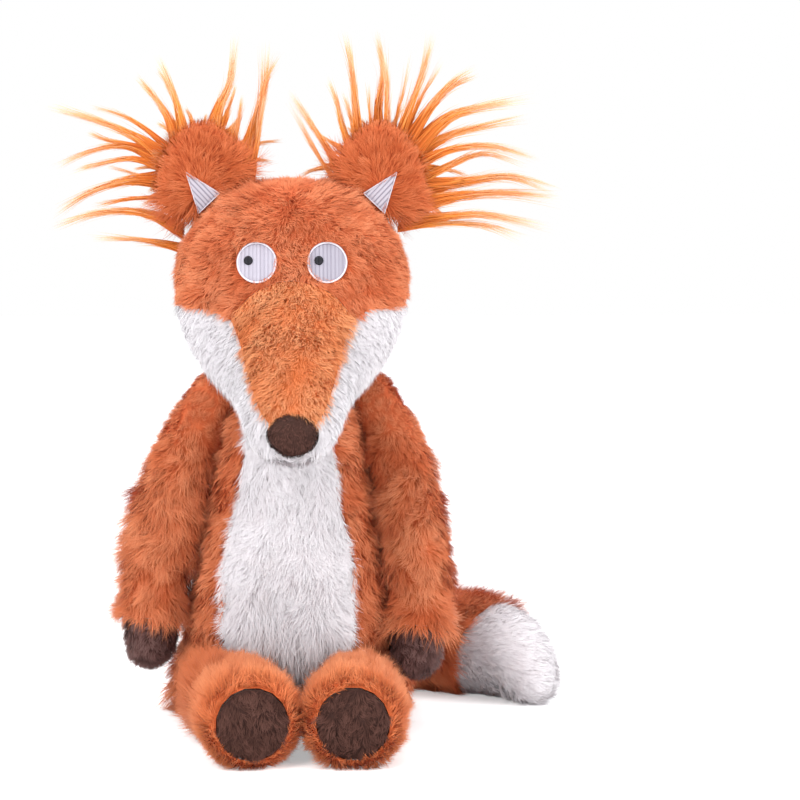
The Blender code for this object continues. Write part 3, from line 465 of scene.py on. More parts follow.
def mesh_object(name, points, tris, places_on_map, material, shading=None):
    """A smooth mesh made from arrays, with its bake map and its own shading normals."""
    mesh = bpy.data.meshes.new(name)
    mesh.vertices.add(len(points))
    mesh.vertices.foreach_set("co", points.astype(np.float32).ravel())
    mesh.loops.add(tris.size)
    mesh.loops.foreach_set("vertex_index", tris.astype(np.int32).ravel())
    mesh.polygons.add(len(tris))
    mesh.polygons.foreach_set("loop_start", np.arange(0, tris.size, 3, dtype=np.int32))
    mesh.polygons.foreach_set("loop_total", np.full(len(tris), 3, np.int32))
    mesh.polygons.foreach_set("use_smooth", np.ones(len(tris), bool))
    layer = mesh.uv_layers.new(name="OFBake")
    layer.data.foreach_set("uv", places_on_map[tris.ravel()].astype(np.float32).ravel())
    mesh.update(calc_edges=True)
    mesh.validate()
    if shading is not None:
        mesh.normals_split_custom_set_from_vertices(shading.astype(np.float32))
    mesh.materials.append(material)
    piece = bpy.data.objects.new(name, mesh)
    bpy.context.scene.collection.objects.link(piece)
    return piece


def put_on(piece, body):
    """Rides a piece on a body; given two bodies as (first, second, start, end), it leaves the piece
    fixed where it is.
    """
    if isinstance(body, str):
        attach(piece, body)
    else:
        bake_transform(piece)


def furred(node, body, material, flow, pile, tree, seed, bare, grow):
    """A sewn panel: its cloth, rounded from the CAD node's outside, and the pile on it."""
    rng = np.random.default_rng(seed)
    points, tris = rounded(*outside_of(node, tree))
    points[:, 2] = np.maximum(points[:, 2], 0)
    wanted = int(surface_area(points, tris) / pile.spacing**2)
    count = min(wanted, MOST_STRANDS)
    thicker = math.sqrt(wanted / count)
    pile = replace(pile, width=pile.width * thicker, spacing=pile.spacing * thicker)
    places, normals = sampled(points, tris, count, rng)
    open_cloth = ~bare(places)
    places, normals = places[open_cloth], normals[open_cloth]
    hair, hair_tris, hair_map, hair_shading = strands(
        places, normals, flow, pile, bare, grow, rng
    )
    cloth_map = np.stack((rng.random(len(points)), rng.random(len(points)) * 0.05), 1)
    piece = mesh_object(
        f"fur_{node}",
        np.concatenate((points, hair)),
        np.concatenate((tris, hair_tris + len(points))),
        np.concatenate((cloth_map, hair_map)),
        material,
        np.concatenate((vertex_normals(points, tris), hair_shading)),
    )
    put_on(piece, body)
    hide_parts(node)


def spline(route, shares):
    """Places on the smooth curve through a route of points, at shares of its way."""
    route = np.asarray(route, float)
    ends = np.concatenate((2 * route[:1] - route[1:2], route, 2 * route[-1:] - route[-2:-1]))
    at = np.clip(np.asarray(shares) * (len(route) - 1), 0, len(route) - 1 - 1e-9)
    k = at.astype(int)
    t = (at - k)[..., None]
    a, b, c, d = ends[k], ends[k + 1], ends[k + 2], ends[k + 3]
    return 0.5 * (
        2 * b + (c - a) * t + (2 * a - 5 * b + 4 * c - d) * t**2 + (3 * b - a - 3 * c + d) * t**3
    )


def wisp(route, breadth, count, rng):
    """The curves of one wisp's strands, close together at its tip, and their tones."""
    end = 1 - 0.7 * rng.random(count) ** 1.4
    shares = end[:, None] * LONG_STEPS
    middle = spline(route, shares)
    way = unit(route[-1] - route[0])
    depth = np.array((0.0, 1.0, 0.0)) - way * way[1]
    side = np.cross(way, unit(depth))
    angle = rng.uniform(0, 2 * math.pi, count)
    reach = np.sqrt(rng.random(count)) * breadth / 2
    narrow = (1.5 * (1 - shares) ** 2.2 + 0.04)[..., None]
    across = (side * (np.cos(angle) * reach)[:, None] + depth * (np.sin(angle) * reach)[:, None])
    length = np.linalg.norm(route[-1] - route[0])
    stray = rng.normal(size=(count, 3)) * 0.022 * length
    bow = LONG_STEPS[None, :, None] ** 2
    curve = middle + across[:, None, :] * narrow + stray[:, None, :] * bow
    return curve, np.clip(0.5 + 0.2 * rng.normal() + 0.2 * rng.normal(size=count), 0, 1)


def long_hair(node, body, material, routes, seed):
    """Wisps of long pile that stand out behind an ear, in place of its plain locks."""
    rng = np.random.default_rng(seed)
    curves, tones = [], []
    for breadth, route in routes:
        count = int(WISP_STRANDS * breadth * 1000)
        curve, tone = wisp(np.array(route), breadth, count, rng)
        curves.append(curve)
        tones.append(tone)
    curve, tone = np.concatenate(curves), np.concatenate(tones)
    roll = rng.uniform(-1.2, 1.2, len(curve))
    front = np.broadcast_to((0.0, -1.0, 0.0), (len(curve), 3))
    facing = turned(front, unit(curve[:, -1] - curve[:, 0]), roll)
    points, tris = ribbons(curve, facing[:, None, :], WISP_WIDTH, LONG_WIDTHS)
    piece = mesh_object(f"long_{node}", points, tris, ribbon_map(tone, LONG_STEPS), material)
    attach(piece, body)
    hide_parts(node)


def front_wisps(rows, rng):
    """The wisps that the front shows, each leaning a little forwards or backwards."""
    routes = []
    for breadth, *flat in rows:
        lean = rng.uniform(*WISP_LEANS)
        x, z = np.array(flat).T / 1000
        far = np.hypot(x - x[0], z - z[0])
        routes.append((breadth / 1000, np.stack((x, far * lean, z), 1)))
    return routes


def back_wisps(centre, sign, rng):
    """Shorter wisps that lean back all round an ear, as its back is all long pile."""
    routes = []
    for k in range(BACK_WISPS):
        angle = math.radians(-35 + 215 * (k + rng.uniform(0.2, 0.8)) / BACK_WISPS)
        out = np.array((sign * math.cos(angle), 0.0, math.sin(angle)))
        root = centre + out * rng.uniform(*BACK_WISP_ROOTS) + np.array((0.0, BACK_WISP_DEPTH, 0.0))
        lean = rng.uniform(*BACK_WISP_LEANS)
        way = unit(out + np.array((0.0, lean, 0.0)))
        length = rng.uniform(*BACK_WISP_LENGTHS)
        bow = unit(np.array((out[2], 0.0, -out[0]))) * rng.uniform(-0.12, 0.12)
        sag = np.array((0.0, 0.0, -0.12))
        route = [root + way * length * t + (bow + sag) * length * t * t for t in (0, 0.34, 0.67, 1)]
        routes.append((rng.uniform(*BACK_WISP_BREADTHS), route))
    return routes


def face_fit(node):
    """The smooth curve of the face behind a flat patch, as depth over (across, up)."""
    points, _ = arrays_of(node)
    middle = points.mean(0)

    def terms(x, z):
        a, b = x - middle[0], z - middle[2]
        return np.stack((np.ones_like(a), a, b, a * a, a * b, b * b), -1)

    fit = np.linalg.lstsq(terms(points[:, 0], points[:, 2]), points[:, 1], rcond=None)[0]

    def depth(x, z):
        return terms(x, z) @ fit

    return depth


def moved(depth, out):
    """The same curve of the face, further back by a distance."""

    def other(x, z):
        return depth(x, z) + out

    return other


def flat_at(y):
    """A flat face at one depth."""

    def depth(x, z):
        return 0 * x + y

    return depth


def grid_tris(rows, columns):
    a = (np.arange(rows - 1)[:, None] * columns + np.arange(columns - 1)).reshape(-1)
    low = np.stack((a, a + 1, a + columns + 1), 1)
    high = np.stack((a, a + columns + 1, a + columns), 1)
    return np.concatenate((low, high))


def thread_tones(count, rng):
    return 0.5 + 0.24 * rng.normal(size=count)


def satin_fill(across, low, high, depth, rise, tones, rng):
    """Threads side by side in columns, each from low to high: points, triangles, bake places.

    across runs over the threads, four samples to each; low and high are their ends as
    (across, up) places, depth gives the face behind them, and tones give the painted shade
    of the lines between the columns and the painted highlight of the columns."""
    samples, steps = len(across), 15
    share = np.linspace(0, 1, steps)[None, :, None]
    flat = low[:, None] + (high - low)[:, None] * share
    length = np.linalg.norm(high - low, axis=1)[:, None]
    run = share[..., 0] * length
    tuck = np.minimum(1, np.minimum(run, length - run) / THREAD_TUCK) ** 0.5
    ridge = np.abs(np.sin(np.pi * across / THREAD))[:, None]
    column = np.abs(np.sin(np.pi * across / COLUMN))[:, None]
    wander = 0.08 * np.sin(run * 1900 + 5 * np.sin(across[:, None] * 900))
    height = rise * tuck * (0.58 + 0.14 * ridge + 0.28 * column**0.5 + wander * 0.5)
    y = depth(flat[..., 0], flat[..., 1]) - height
    points = np.stack((flat[..., 0], y, flat[..., 1]), 2).reshape(-1, 3)
    thread = np.floor(across / THREAD).astype(int)
    own = thread_tones(thread.max() - thread.min() + 1, rng)[thread - thread.min()]
    u = np.clip(own[:, None] + 0.03 * share[..., 0], 0, 1)
    groove_shade, crest_highlight = tones
    # Painted shade in the lines between the columns and along each thread's sides, painted highlight on
    # the middle of each column and thread
    v = np.clip(groove_shade + 0.12 * ridge + (crest_highlight - groove_shade) * column**0.7 + 0 * u, 0, 1)
    return points, grid_tris(samples, steps), np.stack((u, v), 2).reshape(-1, 2)


def satin_border(path, depth, width, rise, rng):
    """A raised band of short threads across a closed path of (across, up) places."""
    path = np.asarray(path)
    ahead = np.roll(path, -1, 0) - path
    run = np.concatenate(((0,), np.cumsum(np.linalg.norm(ahead, axis=1))))
    count = int(run[-1] / THREAD * 3)
    at = np.linspace(0, run[-1], count + 1)
    closed = np.concatenate((path, path[:1]))
    line = np.stack([np.interp(at, run, closed[:, k]) for k in range(2)], 1)
    way = unit(np.roll(line[:-1], -1, 0) - np.roll(line[:-1], 1, 0))
    way = np.concatenate((way, way[:1]))
    side = np.stack((-way[:, 1], way[:, 0]), 1)
    bend = np.linspace(0, math.pi, 7)
    ridge = np.abs(np.sin(np.pi * at / THREAD))[:, None]
    flat = line[:, None] + side[:, None] * (np.cos(bend) * width / 2)[None, :, None]
    height = rise * (np.sin(bend) ** 0.8)[None] * (0.84 + 0.16 * ridge)
    y = depth(flat[..., 0], flat[..., 1]) - height
    points = np.stack((flat[..., 0], y, flat[..., 1]), 2).reshape(-1, 3)
    thread = np.floor(at / THREAD).astype(int)
    tones = thread_tones(thread.max() + 1, rng)[thread]
    u = np.clip(tones[:, None] + 0.3 + 0.02 * np.linspace(0, 1, 7), 0, 1)
    # Painted highlight along the top of the raised band and the middle of each thread, painted shade
    # down its sides
    v = np.clip(0.45 + 0.2 * ridge + 0.35 * np.sin(bend)[None], 0, 1)
    return points, grid_tris(count + 1, 7), np.stack((u, v), 2).reshape(-1, 2)


def disc_threads(centre, radius):
    """Upright threads that fill a disc."""
    x = np.arange(-radius, radius, THREAD / 4)
    half = np.sqrt(np.maximum(radius**2 - x**2, 0))
    low = np.stack((centre[0] + x, centre[1] - half), 1)
    high = np.stack((centre[0] + x, centre[1] + half), 1)
    return x, low, high


def circle(centre, radius, count=96):
    turn = np.linspace(0, 2 * math.pi, count, endpoint=False)
    return np.stack((centre[0] + radius * np.cos(turn), centre[1] + radius * np.sin(turn)), 1)


def triangle_threads(first, tip, last):
    """Threads that fill a triangle along its length, from the side first-last to its tip."""
    base = last - first
    width = np.linalg.norm(base)
    s = np.arange(0.02, 0.98, THREAD / 4 / width)
    at_tip = np.clip(((tip - first) @ base) / width**2, 0.2, 0.8)
    low = first + base * s[:, None]
    rising, falling = (s / at_tip)[:, None], ((1 - s) / (1 - at_tip))[:, None]
    high = np.where(s[:, None] < at_tip, first + (tip - first) * rising, last + (tip - last) * falling)
    return s * width, low, high


def stitched(name, body, node, material, parts):
    points, tris, places_on_map, base = [], [], [], 0
    for p, t, m in parts:
        points.append(p)
        tris.append(t + base)
        places_on_map.append(m)
        base += len(p)
    piece = mesh_object(
        name, np.concatenate(points), np.concatenate(tris), np.concatenate(places_on_map), material
    )
    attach(piece, body)
    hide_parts(node)


def box_middle(node):
    """The middle (across, up) of a node's box, and half its breadth."""
    low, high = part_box(node)
    return (low[0] + high[0]) / 2, (low[2] + high[2]) / 2, (high[0] - low[0]) / 2


def embroider_eye(side, white, black, seed):
    rng = np.random.default_rng(seed)
    x, z, radius = box_middle(f"eye_rim_{side}")
    depth = face_fit(f"eye_{side}")
    inner = radius - BORDER_WIDTH * 0.4
    sunk = moved(depth, EYE_SINK)
    disc = satin_fill(*disc_threads((x, z), inner), sunk, STITCH_RISE, EYE_PAINTED_SHADES[side], rng)
    stitched(f"stitches_eye_{side}", "head", f"eye_{side}", white, [disc])
    ring = satin_border(
        circle((x, z), radius - BORDER_WIDTH / 2), depth, BORDER_WIDTH, BORDER_RISE * 1.4, rng
    )
    stitched(f"stitches_eye_rim_{side}", "head", f"eye_rim_{side}", white, [ring])
    px, pz, pupil = box_middle(f"pupil_{side}")
    raised = moved(depth, -STITCH_RISE * 0.75)
    dot = satin_fill(*disc_threads((px, pz), pupil * 1.06), raised, STITCH_RISE, FILL_PAINTED_SHADES, rng)
    stitched(f"stitches_pupil_{side}", "head", f"pupil_{side}", black, [dot])


def front_triangle(side):
    """The corners of an inner ear patch on its front, as (across, up): first, tip, last."""
    points, _ = arrays_of(f"inner_ear_{side}")
    points += (math.copysign(PATCH_OUT, points[0, 0]), 0.0, -PATCH_DOWN)
    front = points[np.argsort(points[:, 1])[:3]]
    tip = front[np.argmax(front[:, 2])]
    rest = sorted((p for p in front if p is not tip and (p != tip).any()), key=lambda p: p[2])
    return rest[0][[0, 2]], tip[[0, 2]], rest[1][[0, 2]], front[:, 1].mean()


def embroider_ear(side, white, seed):
    rng = np.random.default_rng(seed)
    first, tip, last, front = front_triangle(side)
    depth = flat_at(front + PATCH_SINK)
    parts = [satin_fill(*triangle_threads(first, tip, last), depth, STITCH_RISE, FILL_PAINTED_SHADES, rng)]
    path = []
    for a, b in ((first, last), (last, tip), (tip, first)):
        path += [a + (b - a) * k / 12 for k in range(12)]
    parts.append(satin_border(path, depth, BORDER_WIDTH * 0.75, BORDER_RISE * 1.5, rng))
    node = f"inner_ear_{side}"
    stitched(f"stitches_{node}", f"ear_{side}", node, white, parts)


def off_eyes(places):
    """True where fur would cover an eye, apart from a little at its lower inner edge."""
    covered = nothing_bare(places)
    for side, inward in (("left", -1), ("right", 1)):
        x, z, radius = box_middle(f"eye_rim_{side}")
        a, b = places[:, 0] - x, places[:, 2] - z
        lower = np.clip((inward * a - b) / (1.42 * radius), 0, 1)
        ragged = EYE_RAGGED * np.sin(places[:, 0] * 2900 + 3 * np.sin(places[:, 2] * 1700))
        reach = radius - EYE_EDGE - EYE_COVER * lower + ragged * lower
        covered |= (np.hypot(a, b) < reach) & (places[:, 1] < EYE_FRONT)
    return covered


def off_patch(side):
    """True where fur would cover an inner ear patch."""
    corners = front_triangle(side)[:3]

    def covered(places):
        flat = places[:, (0, 2)]
        inside = np.ones(len(places), bool)
        middle = np.mean(corners, 0)
        ragged = PATCH_RAGGED * np.sin(places[:, 0] * 2300 + 3 * np.sin(places[:, 2] * 1900))
        order = zip(corners, (*corners[1:], corners[0]), PATCH_COVER)
        for a, b, into in order:
            normal = np.array((b[1] - a[1], a[0] - b[0]))
            normal *= np.sign(normal @ (middle - a)) / np.linalg.norm(normal)
            inside &= (flat - a) @ normal > into * PATCH_COVER_SHARE + (ragged if into else -PATCH_EDGE)
        return inside

    return covered


def pile_material(name, dark, light, roughness=0.75, sheen=None):
    """Fur from root to tip: each of dark and light has a colour at the root, middle and tip."""
    material = bpy.data.materials.new(name)
    material.use_nodes = True
    nodes, links = material.node_tree.nodes, material.node_tree.links
    shader = nodes["Principled BSDF"]
    place = nodes.new("ShaderNodeUVMap")
    place.uv_map = "OFBake"
    parts = nodes.new("ShaderNodeSeparateXYZ")
    links.new(place.outputs["UV"], parts.inputs["Vector"])
    mix = nodes.new("ShaderNodeMix")
    mix.data_type = "RGBA"
    links.new(parts.outputs["X"], mix.inputs["Factor"])
    for colours, socket in ((dark, "A"), (light, "B")):
        ramp = nodes.new("ShaderNodeValToRGB")
        stops = ramp.color_ramp.elements
        stops.new(0.5)
        for stop, colour, at in zip(stops, colours, (0.0, 0.5, 1.0)):
            stop.position = at
            stop.color = (*colour, 1.0)
        links.new(parts.outputs["Y"], ramp.inputs["Fac"])
        links.new(ramp.outputs["Color"], mix.inputs[6 if socket == "A" else 7])
    links.new(mix.outputs[2], shader.inputs["Base Color"])
    shader.inputs["Roughness"].default_value = roughness
    shader.inputs["Specular IOR Level"].default_value = 0.25
    if sheen:
        shader.inputs["Sheen Weight"].default_value = sheen[0]
        shader.inputs["Sheen Tint"].default_value = (*sheen[1], 1.0)
        shader.inputs["Sheen Roughness"].default_value = 0.4
    return material


def fur_colours():
    return {
        "rust": pile_material(
            "rust pile",
            ((0.52, 0.088, 0.024), (0.66, 0.135, 0.042), (0.74, 0.190, 0.070)),
            ((0.68, 0.155, 0.052), (0.84, 0.250, 0.100), (0.93, 0.390, 0.200)),
            sheen=(0.25, (1.0, 0.72, 0.58)),
        ),
        "snout": pile_material(
            "snout pile",
            ((0.67, 0.155, 0.036), (0.86, 0.246, 0.075), (0.90, 0.320, 0.120)),
            ((0.82, 0.240, 0.074), (0.95, 0.370, 0.147), (0.98, 0.510, 0.260)),
            sheen=(0.25, (1.0, 0.75, 0.58)),
        ),
        "ear": pile_material(
            "ear front pile",
            ((0.44, 0.062, 0.014), (0.56, 0.100, 0.024), (0.66, 0.150, 0.045)),
            ((0.58, 0.110, 0.028), (0.72, 0.175, 0.055), (0.84, 0.280, 0.120)),
            sheen=(0.15, (1.0, 0.66, 0.45)),
        ),
        "leg": pile_material(
            "leg pile",
            ((0.50, 0.085, 0.020), (0.66, 0.140, 0.038), (0.76, 0.190, 0.060)),
            ((0.64, 0.140, 0.040), (0.83, 0.230, 0.080), (0.92, 0.340, 0.150)),
            sheen=(0.3, (1.0, 0.75, 0.6)),
        ),
        "white": pile_material(
            "white pile",
            ((0.89, 0.83, 0.85), (0.94, 0.89, 0.91), (0.96, 0.92, 0.93)),
            ((0.94, 0.89, 0.91), (0.97, 0.93, 0.95), (0.98, 0.95, 0.97)),
            sheen=(0.25, (1.0, 0.97, 0.98)),
        ),
        "cheek": pile_material(
            "cheek pile",
            ((0.79, 0.75, 0.77), (0.85, 0.81, 0.83), (0.88, 0.84, 0.86)),
            ((0.85, 0.81, 0.83), (0.89, 0.85, 0.87), (0.92, 0.89, 0.91)),
            sheen=(0.2, (1.0, 0.97, 0.98)),
        ),
        "brown": pile_material(
            "brown pile",
            ((0.034, 0.011, 0.008), (0.070, 0.026, 0.018), (0.105, 0.042, 0.031)),
            ((0.055, 0.021, 0.014), (0.130, 0.052, 0.038), (0.215, 0.098, 0.075)),
            sheen=(0.1, (1.0, 0.7, 0.62)),
        ),
        # Painted highlight: the soles' dark brown plush, made lighter for the paws because they catch
        # more light at the sides
        "paw": pile_material(
            "paw pile with painted highlight",
            ((0.050, 0.020, 0.017), (0.105, 0.046, 0.040), (0.160, 0.078, 0.070)),
            ((0.085, 0.036, 0.030), (0.200, 0.098, 0.086), (0.330, 0.185, 0.165)),
            sheen=(0.2, (1.0, 0.75, 0.7)),
        ),
        "long": pile_material(
            "long pile",
            ((0.58, 0.100, 0.016), (0.80, 0.220, 0.032), (0.90, 0.500, 0.230)),
            ((0.78, 0.190, 0.030), (0.94, 0.380, 0.075), (0.97, 0.740, 0.520)),
        ),
        # The stitches' ramps run from the painted shade of the grooves to the painted highlight of the
        # crests, for the white and the black stitches alike
        "stitch": pile_material(
            "white stitches",
            ((0.12, 0.11, 0.15), (0.43, 0.40, 0.47), (0.66, 0.63, 0.70)),
            ((0.19, 0.17, 0.22), (0.54, 0.51, 0.58), (0.84, 0.82, 0.87)),
            roughness=0.5,
        ),
        "pupil": pile_material(
            "black stitches",
            ((0.004, 0.004, 0.006), (0.006, 0.006, 0.010), (0.012, 0.012, 0.018)),
            ((0.006, 0.006, 0.009), (0.011, 0.011, 0.016), (0.022, 0.022, 0.030)),
            roughness=0.45,
        ),
    }


def noise_of(nodes, links, scale, stretch=(1.0, 1.0, 1.0)):
    """A noise texture over the piece's own space, and its value."""
    place = nodes.new("ShaderNodeTexCoord")
    mapping = nodes.new("ShaderNodeMapping")
    mapping.inputs["Scale"].default_value = stretch
    noise = nodes.new("ShaderNodeTexNoise")
    noise.inputs["Scale"].default_value = scale
    noise.inputs["Detail"].default_value = 5.0
    links.new(place.outputs["Object"], mapping.inputs["Vector"])
    links.new(mapping.outputs["Vector"], noise.inputs["Vector"])
    return noise.outputs["Fac"]


def inner_material(name, dark, light, scale, stretch):
    """Loose fibre or plain cloth that the fur covers: mottled, with a fine rough surface."""
    material = bpy.data.materials.new(name)
    material.use_nodes = True
    nodes, links = material.node_tree.nodes, material.node_tree.links
    shader = nodes["Principled BSDF"]
    ramp = nodes.new("ShaderNodeValToRGB")
    ramp.color_ramp.elements[0].color = (*dark, 1.0)
    ramp.color_ramp.elements[1].color = (*light, 1.0)
    links.new(noise_of(nodes, links, scale), ramp.inputs["Fac"])
    links.new(ramp.outputs["Color"], shader.inputs["Base Color"])
    bump = nodes.new("ShaderNodeBump")
    bump.inputs["Strength"].default_value = 0.6
    bump.inputs["Distance"].default_value = 0.0006
    links.new(noise_of(nodes, links, scale * 3, stretch), bump.inputs["Height"])
    links.new(bump.outputs["Normal"], shader.inputs["Normal"])
    shader.inputs["Roughness"].default_value = 0.95
    return material


def filling(node, body, material, seed):
    """What is inside a sewn part: the CAD node's form with the lumps of a soft filling."""
    rng = np.random.default_rng(seed)
    points, tris = rounded(*rounded(*arrays_of(node)))
    lumps = ripple(points, LUMP_SIZE, rng)[:, None]
    points = points - vertex_normals(points, tris) * LUMP_DEPTH * (1.5 + lumps)
    mesh = bpy.data.meshes.new(f"inside_{node}")
    mesh.from_pydata(points.tolist(), [], tris.tolist())
    mesh.shade_smooth()
    mesh.materials.append(material)
    piece = bpy.data.objects.new(mesh.name, mesh)
    bpy.context.scene.collection.objects.link(piece)
    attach(piece, body)
    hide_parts(node)


def radial(centre):
    centre = np.asarray(centre)

    def flow(places, normals):
        away = places - centre
        away[:, 1] = 0
        return unit(away)

    return flow


def down_and_out(places, normals):
    return np.array((0.0, 0.0, -1.0)) + 0.35 * normals * (1, 1, 0)


def along(start, end):
    way = unit(np.subtract(end, start))

    def flow(places, normals):
        return np.broadcast_to(way, places.shape)

    return flow


def leg_flow(foot):
    """Back over the leg, and out over the rim of its sole."""

    def flow(places, normals):
        x, y, z = places.T
        near = ramp(y, foot + 0.012, foot + 0.004)
        return np.stack((0 * x, 1 - 1.6 * near, 0.5 + 0 * z), 1)

    return flow


def head_flow(places, normals):
    """Back over the crown and out and down at the sides."""
    x, y, z = places.T
    return np.stack((x * 9, 0.25 + y * 0, (0.262 - z) * -4 - 0.55), 1)


def snout_flow(places, normals):
    """Down to the nose, and out over the seams at the sides."""
    x = places[:, 0]
    return np.stack((x * 18, x * 0 - 0.75, x * 0 - 0.65), 1)


def cheek_flow(places, normals):
    """Down and back from the snout."""
    x = places[:, 0]
    return np.stack((x * 12, x * 0 - 0.1, x * 0 - 0.9), 1)


def belly_flow(places, normals):
    x = places[:, 0]
    return np.stack((x * 9, x * 0, x * 0 - 0.8), 1)


def studio_camera():
    rise, turn = math.radians(CAMERA_RISE), math.radians(CAMERA_TURN)
    aim = Vector((0.0, 0.0, AIM_HEIGHT))
    back = Vector((0.0, -math.cos(rise), math.sin(rise)))
    data = bpy.data.cameras.new("camera")
    data.sensor_width = SENSOR
    data.lens = SENSOR * FOCAL_PIXELS / FRAME_PIXELS
    camera = bpy.data.objects.new("camera", data)
    camera.location = aim + back * CAMERA_DISTANCE
    way = Matrix.Rotation(-turn, 3, "Z") @ -back
    camera.rotation_euler = way.to_track_quat("-Z", "Y").to_euler()
    bpy.context.scene.collection.objects.link(camera)
    bpy.context.scene.camera = camera


def lamp(name, place, size, power, aim=(0.0, 0.0, 0.15), colour=(1.0, 1.0, 1.0)):
    data = bpy.data.lights.new(name, "AREA")
    data.size = size
    data.energy = power
    data.color = colour
    light = bpy.data.objects.new(name, data)
    light.location = place
    way = Vector(aim) - Vector(place)
    light.rotation_euler = way.to_track_quat("-Z", "Y").to_euler()
    bpy.context.scene.collection.objects.link(light)


def studio_world():
    world = bpy.data.worlds.new("studio")
    bpy.context.scene.world = world
    world.use_nodes = True
    nodes, links = world.node_tree.nodes, world.node_tree.links
    nodes.clear()
    out = nodes.new("ShaderNodeOutputWorld")
    mix = nodes.new("ShaderNodeMixShader")
    path = nodes.new("ShaderNodeLightPath")
    seen = nodes.new("ShaderNodeBackground")
    seen.inputs["Color"].default_value = (1.0, 1.0, 1.0, 1.0)
    seen.inputs["Strength"].default_value = 1.0
    lit = nodes.new("ShaderNodeBackground")
    lit.inputs["Color"].default_value = (0.95, 0.97, 1.0, 1.0)
    lit.inputs["Strength"].default_value = 0.85
    either = nodes.new("ShaderNodeMath")
    either.operation = "MAXIMUM"
    links.new(path.outputs["Is Camera Ray"], either.inputs[0])
    links.new(path.outputs["Is Glossy Ray"], either.inputs[1])
    links.new(either.outputs[0], mix.inputs["Fac"])
    links.new(lit.outputs[0], mix.inputs[1])
    links.new(seen.outputs[0], mix.inputs[2])
    links.new(mix.outputs[0], out.inputs["Surface"])


def studio_floor():
    """A pale floor that the camera sees as white, with the toy's soft shadow on it."""
    material = bpy.data.materials.new("studio floor")
    material.use_nodes = True
    nodes, links = material.node_tree.nodes, material.node_tree.links
    nodes.clear()
    out = nodes.new("ShaderNodeOutputMaterial")
    plain = nodes.new("ShaderNodeBsdfDiffuse")
    plain.inputs["Color"].default_value = (0.9, 0.9, 0.9, 1.0)
    glow = nodes.new("ShaderNodeEmission")
    glow.inputs["Strength"].default_value = FLOOR_GLOW
    path = nodes.new("ShaderNodeLightPath")
    seen = nodes.new("ShaderNodeMixShader")
    none = nodes.new("ShaderNodeEmission")
    none.inputs["Strength"].default_value = 0.0
    both = nodes.new("ShaderNodeAddShader")
    links.new(path.outputs["Is Camera Ray"], seen.inputs["Fac"])
    links.new(none.outputs[0], seen.inputs[1])
    links.new(glow.outputs[0], seen.inputs[2])
    links.new(plain.outputs[0], both.inputs[0])
    links.new(seen.outputs[0], both.inputs[1])
    links.new(both.outputs[0], out.inputs["Surface"])
    mesh = bpy.data.meshes.new("studio_floor")
    reach = 4.0
    corners = [(-reach, -reach, 0), (reach, -reach, 0), (reach, reach, 0), (-reach, reach, 0)]
    mesh.from_pydata(corners, [], [(0, 1, 2, 3)])
    mesh.materials.append(material)
    floor = bpy.data.objects.new("studio_floor", mesh)
    bpy.context.scene.collection.objects.link(floor)


def studio():
    studio_camera()
    studio_world()
    studio_floor()
    lamp("key", (-1.1, -1.6, 1.5), 1.2, 34.0)
    lamp("fill", (1.6, -1.2, 0.9), 1.4, 22.0)
    lamp("top", (0.0, 0.3, 1.8), 1.2, 10.0)
    view = bpy.context.scene.view_settings
    view.view_transform = "Standard"


def hem(places):
    """Longer fur at the bottom of the belly, longest in the middle between the legs."""
    middle = 1 - ramp(np.abs(places[:, 0]), 0.014, 0.034)
    up = places[:, 2]
    return 1 + 0.9 * ramp(up, 0.052, 0.036) + 1.9 * middle * ramp(up, 0.074, 0.054)


def seat(places):
    """Longer fur low on the right side of the seat."""
    return 1 + 0.9 * ramp(-places[:, 0], 0.03, 0.05) * ramp(places[:, 2], 0.034, 0.018)


def over_seam(places):
    """Longer fur where the tail meets its white tip."""
    return 1 + 0.8 * ramp(places[:, 0], 0.066, 0.09)


def crown(places):
    """Longer fur beside the top of the head, and shorter on it and at its sides."""
    across, up = np.abs(places[:, 0]), places[:, 2]
    corner = ramp(across, 0.014, 0.022) * ramp(across, 0.036, 0.028) * ramp(up, 0.275, 0.29)
    beside = ramp(across, 0.034, 0.04) * ramp(up, 0.266, 0.274)
    top = ramp(across, 0.018, 0.01) * ramp(up, 0.28, 0.292)
    side = ramp(across, 0.05, 0.06) * ramp(up, 0.225, 0.235)
    return 1 + 0.5 * corner - 0.4 * top - 0.3 * side - 0.35 * beside


def cuff(wrist, elbow):
    """Growth of an arm's fur: longer over its paw and at its elbow, shorter at its shoulder."""

    def grow(places):
        up = places[:, 2]
        end = 0.7 * ramp(up, wrist + 0.022, wrist + 0.004)
        bend = elbow * ramp(up, 0.08, 0.1) * ramp(up, 0.145, 0.125)
        return 1 + end + bend - 0.6 * ramp(up, 0.145, 0.168)

    return grow


def rim(leg, under, outer):
    """Growth of a leg's fur: shorter underneath and at the hip, longer on its outer side."""
    low_corner, high_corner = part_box(leg)
    foot, hip = low_corner[1], high_corner[1]
    middle = low_corner[0] / 2 + high_corner[0] / 2

    def grow(places):
        low = under * ramp(places[:, 2], 0.026, 0.01)
        end = 0.5 * ramp(places[:, 1], hip - 0.03, hip - 0.012)
        out = ramp(np.abs(places[:, 0]) - abs(middle), 0.008, 0.018)
        beside = outer * out * ramp(places[:, 1], foot + 0.045, foot + 0.07)
        return 1 + beside - low - end

    return grow


def ear_growth(middle, sign):
    """Growth of an ear front's fur: shorter at its edge, longer at its root and beside its patch."""

    def grow(places):
        across, _, up = (places - middle).T
        edge = 0.5 * ramp(np.hypot(across, up), 0.014, 0.026)
        base = 1.3 * ramp(up, -0.006, -0.02)
        inner = 1.5 * ramp(-sign * across, 0.008, 0.02) * ramp(up, 0.016, 0.004)
        return 1 - edge + np.maximum(base, inner)

    return grow


def ear_back_growth(middle):
    """Growth of an ear back's fur: shorter at its edge."""

    def grow(places):
        across, _, up = (places - middle).T
        return 1 - 0.5 * ramp(np.hypot(across, up), 0.014, 0.026)

    return grow


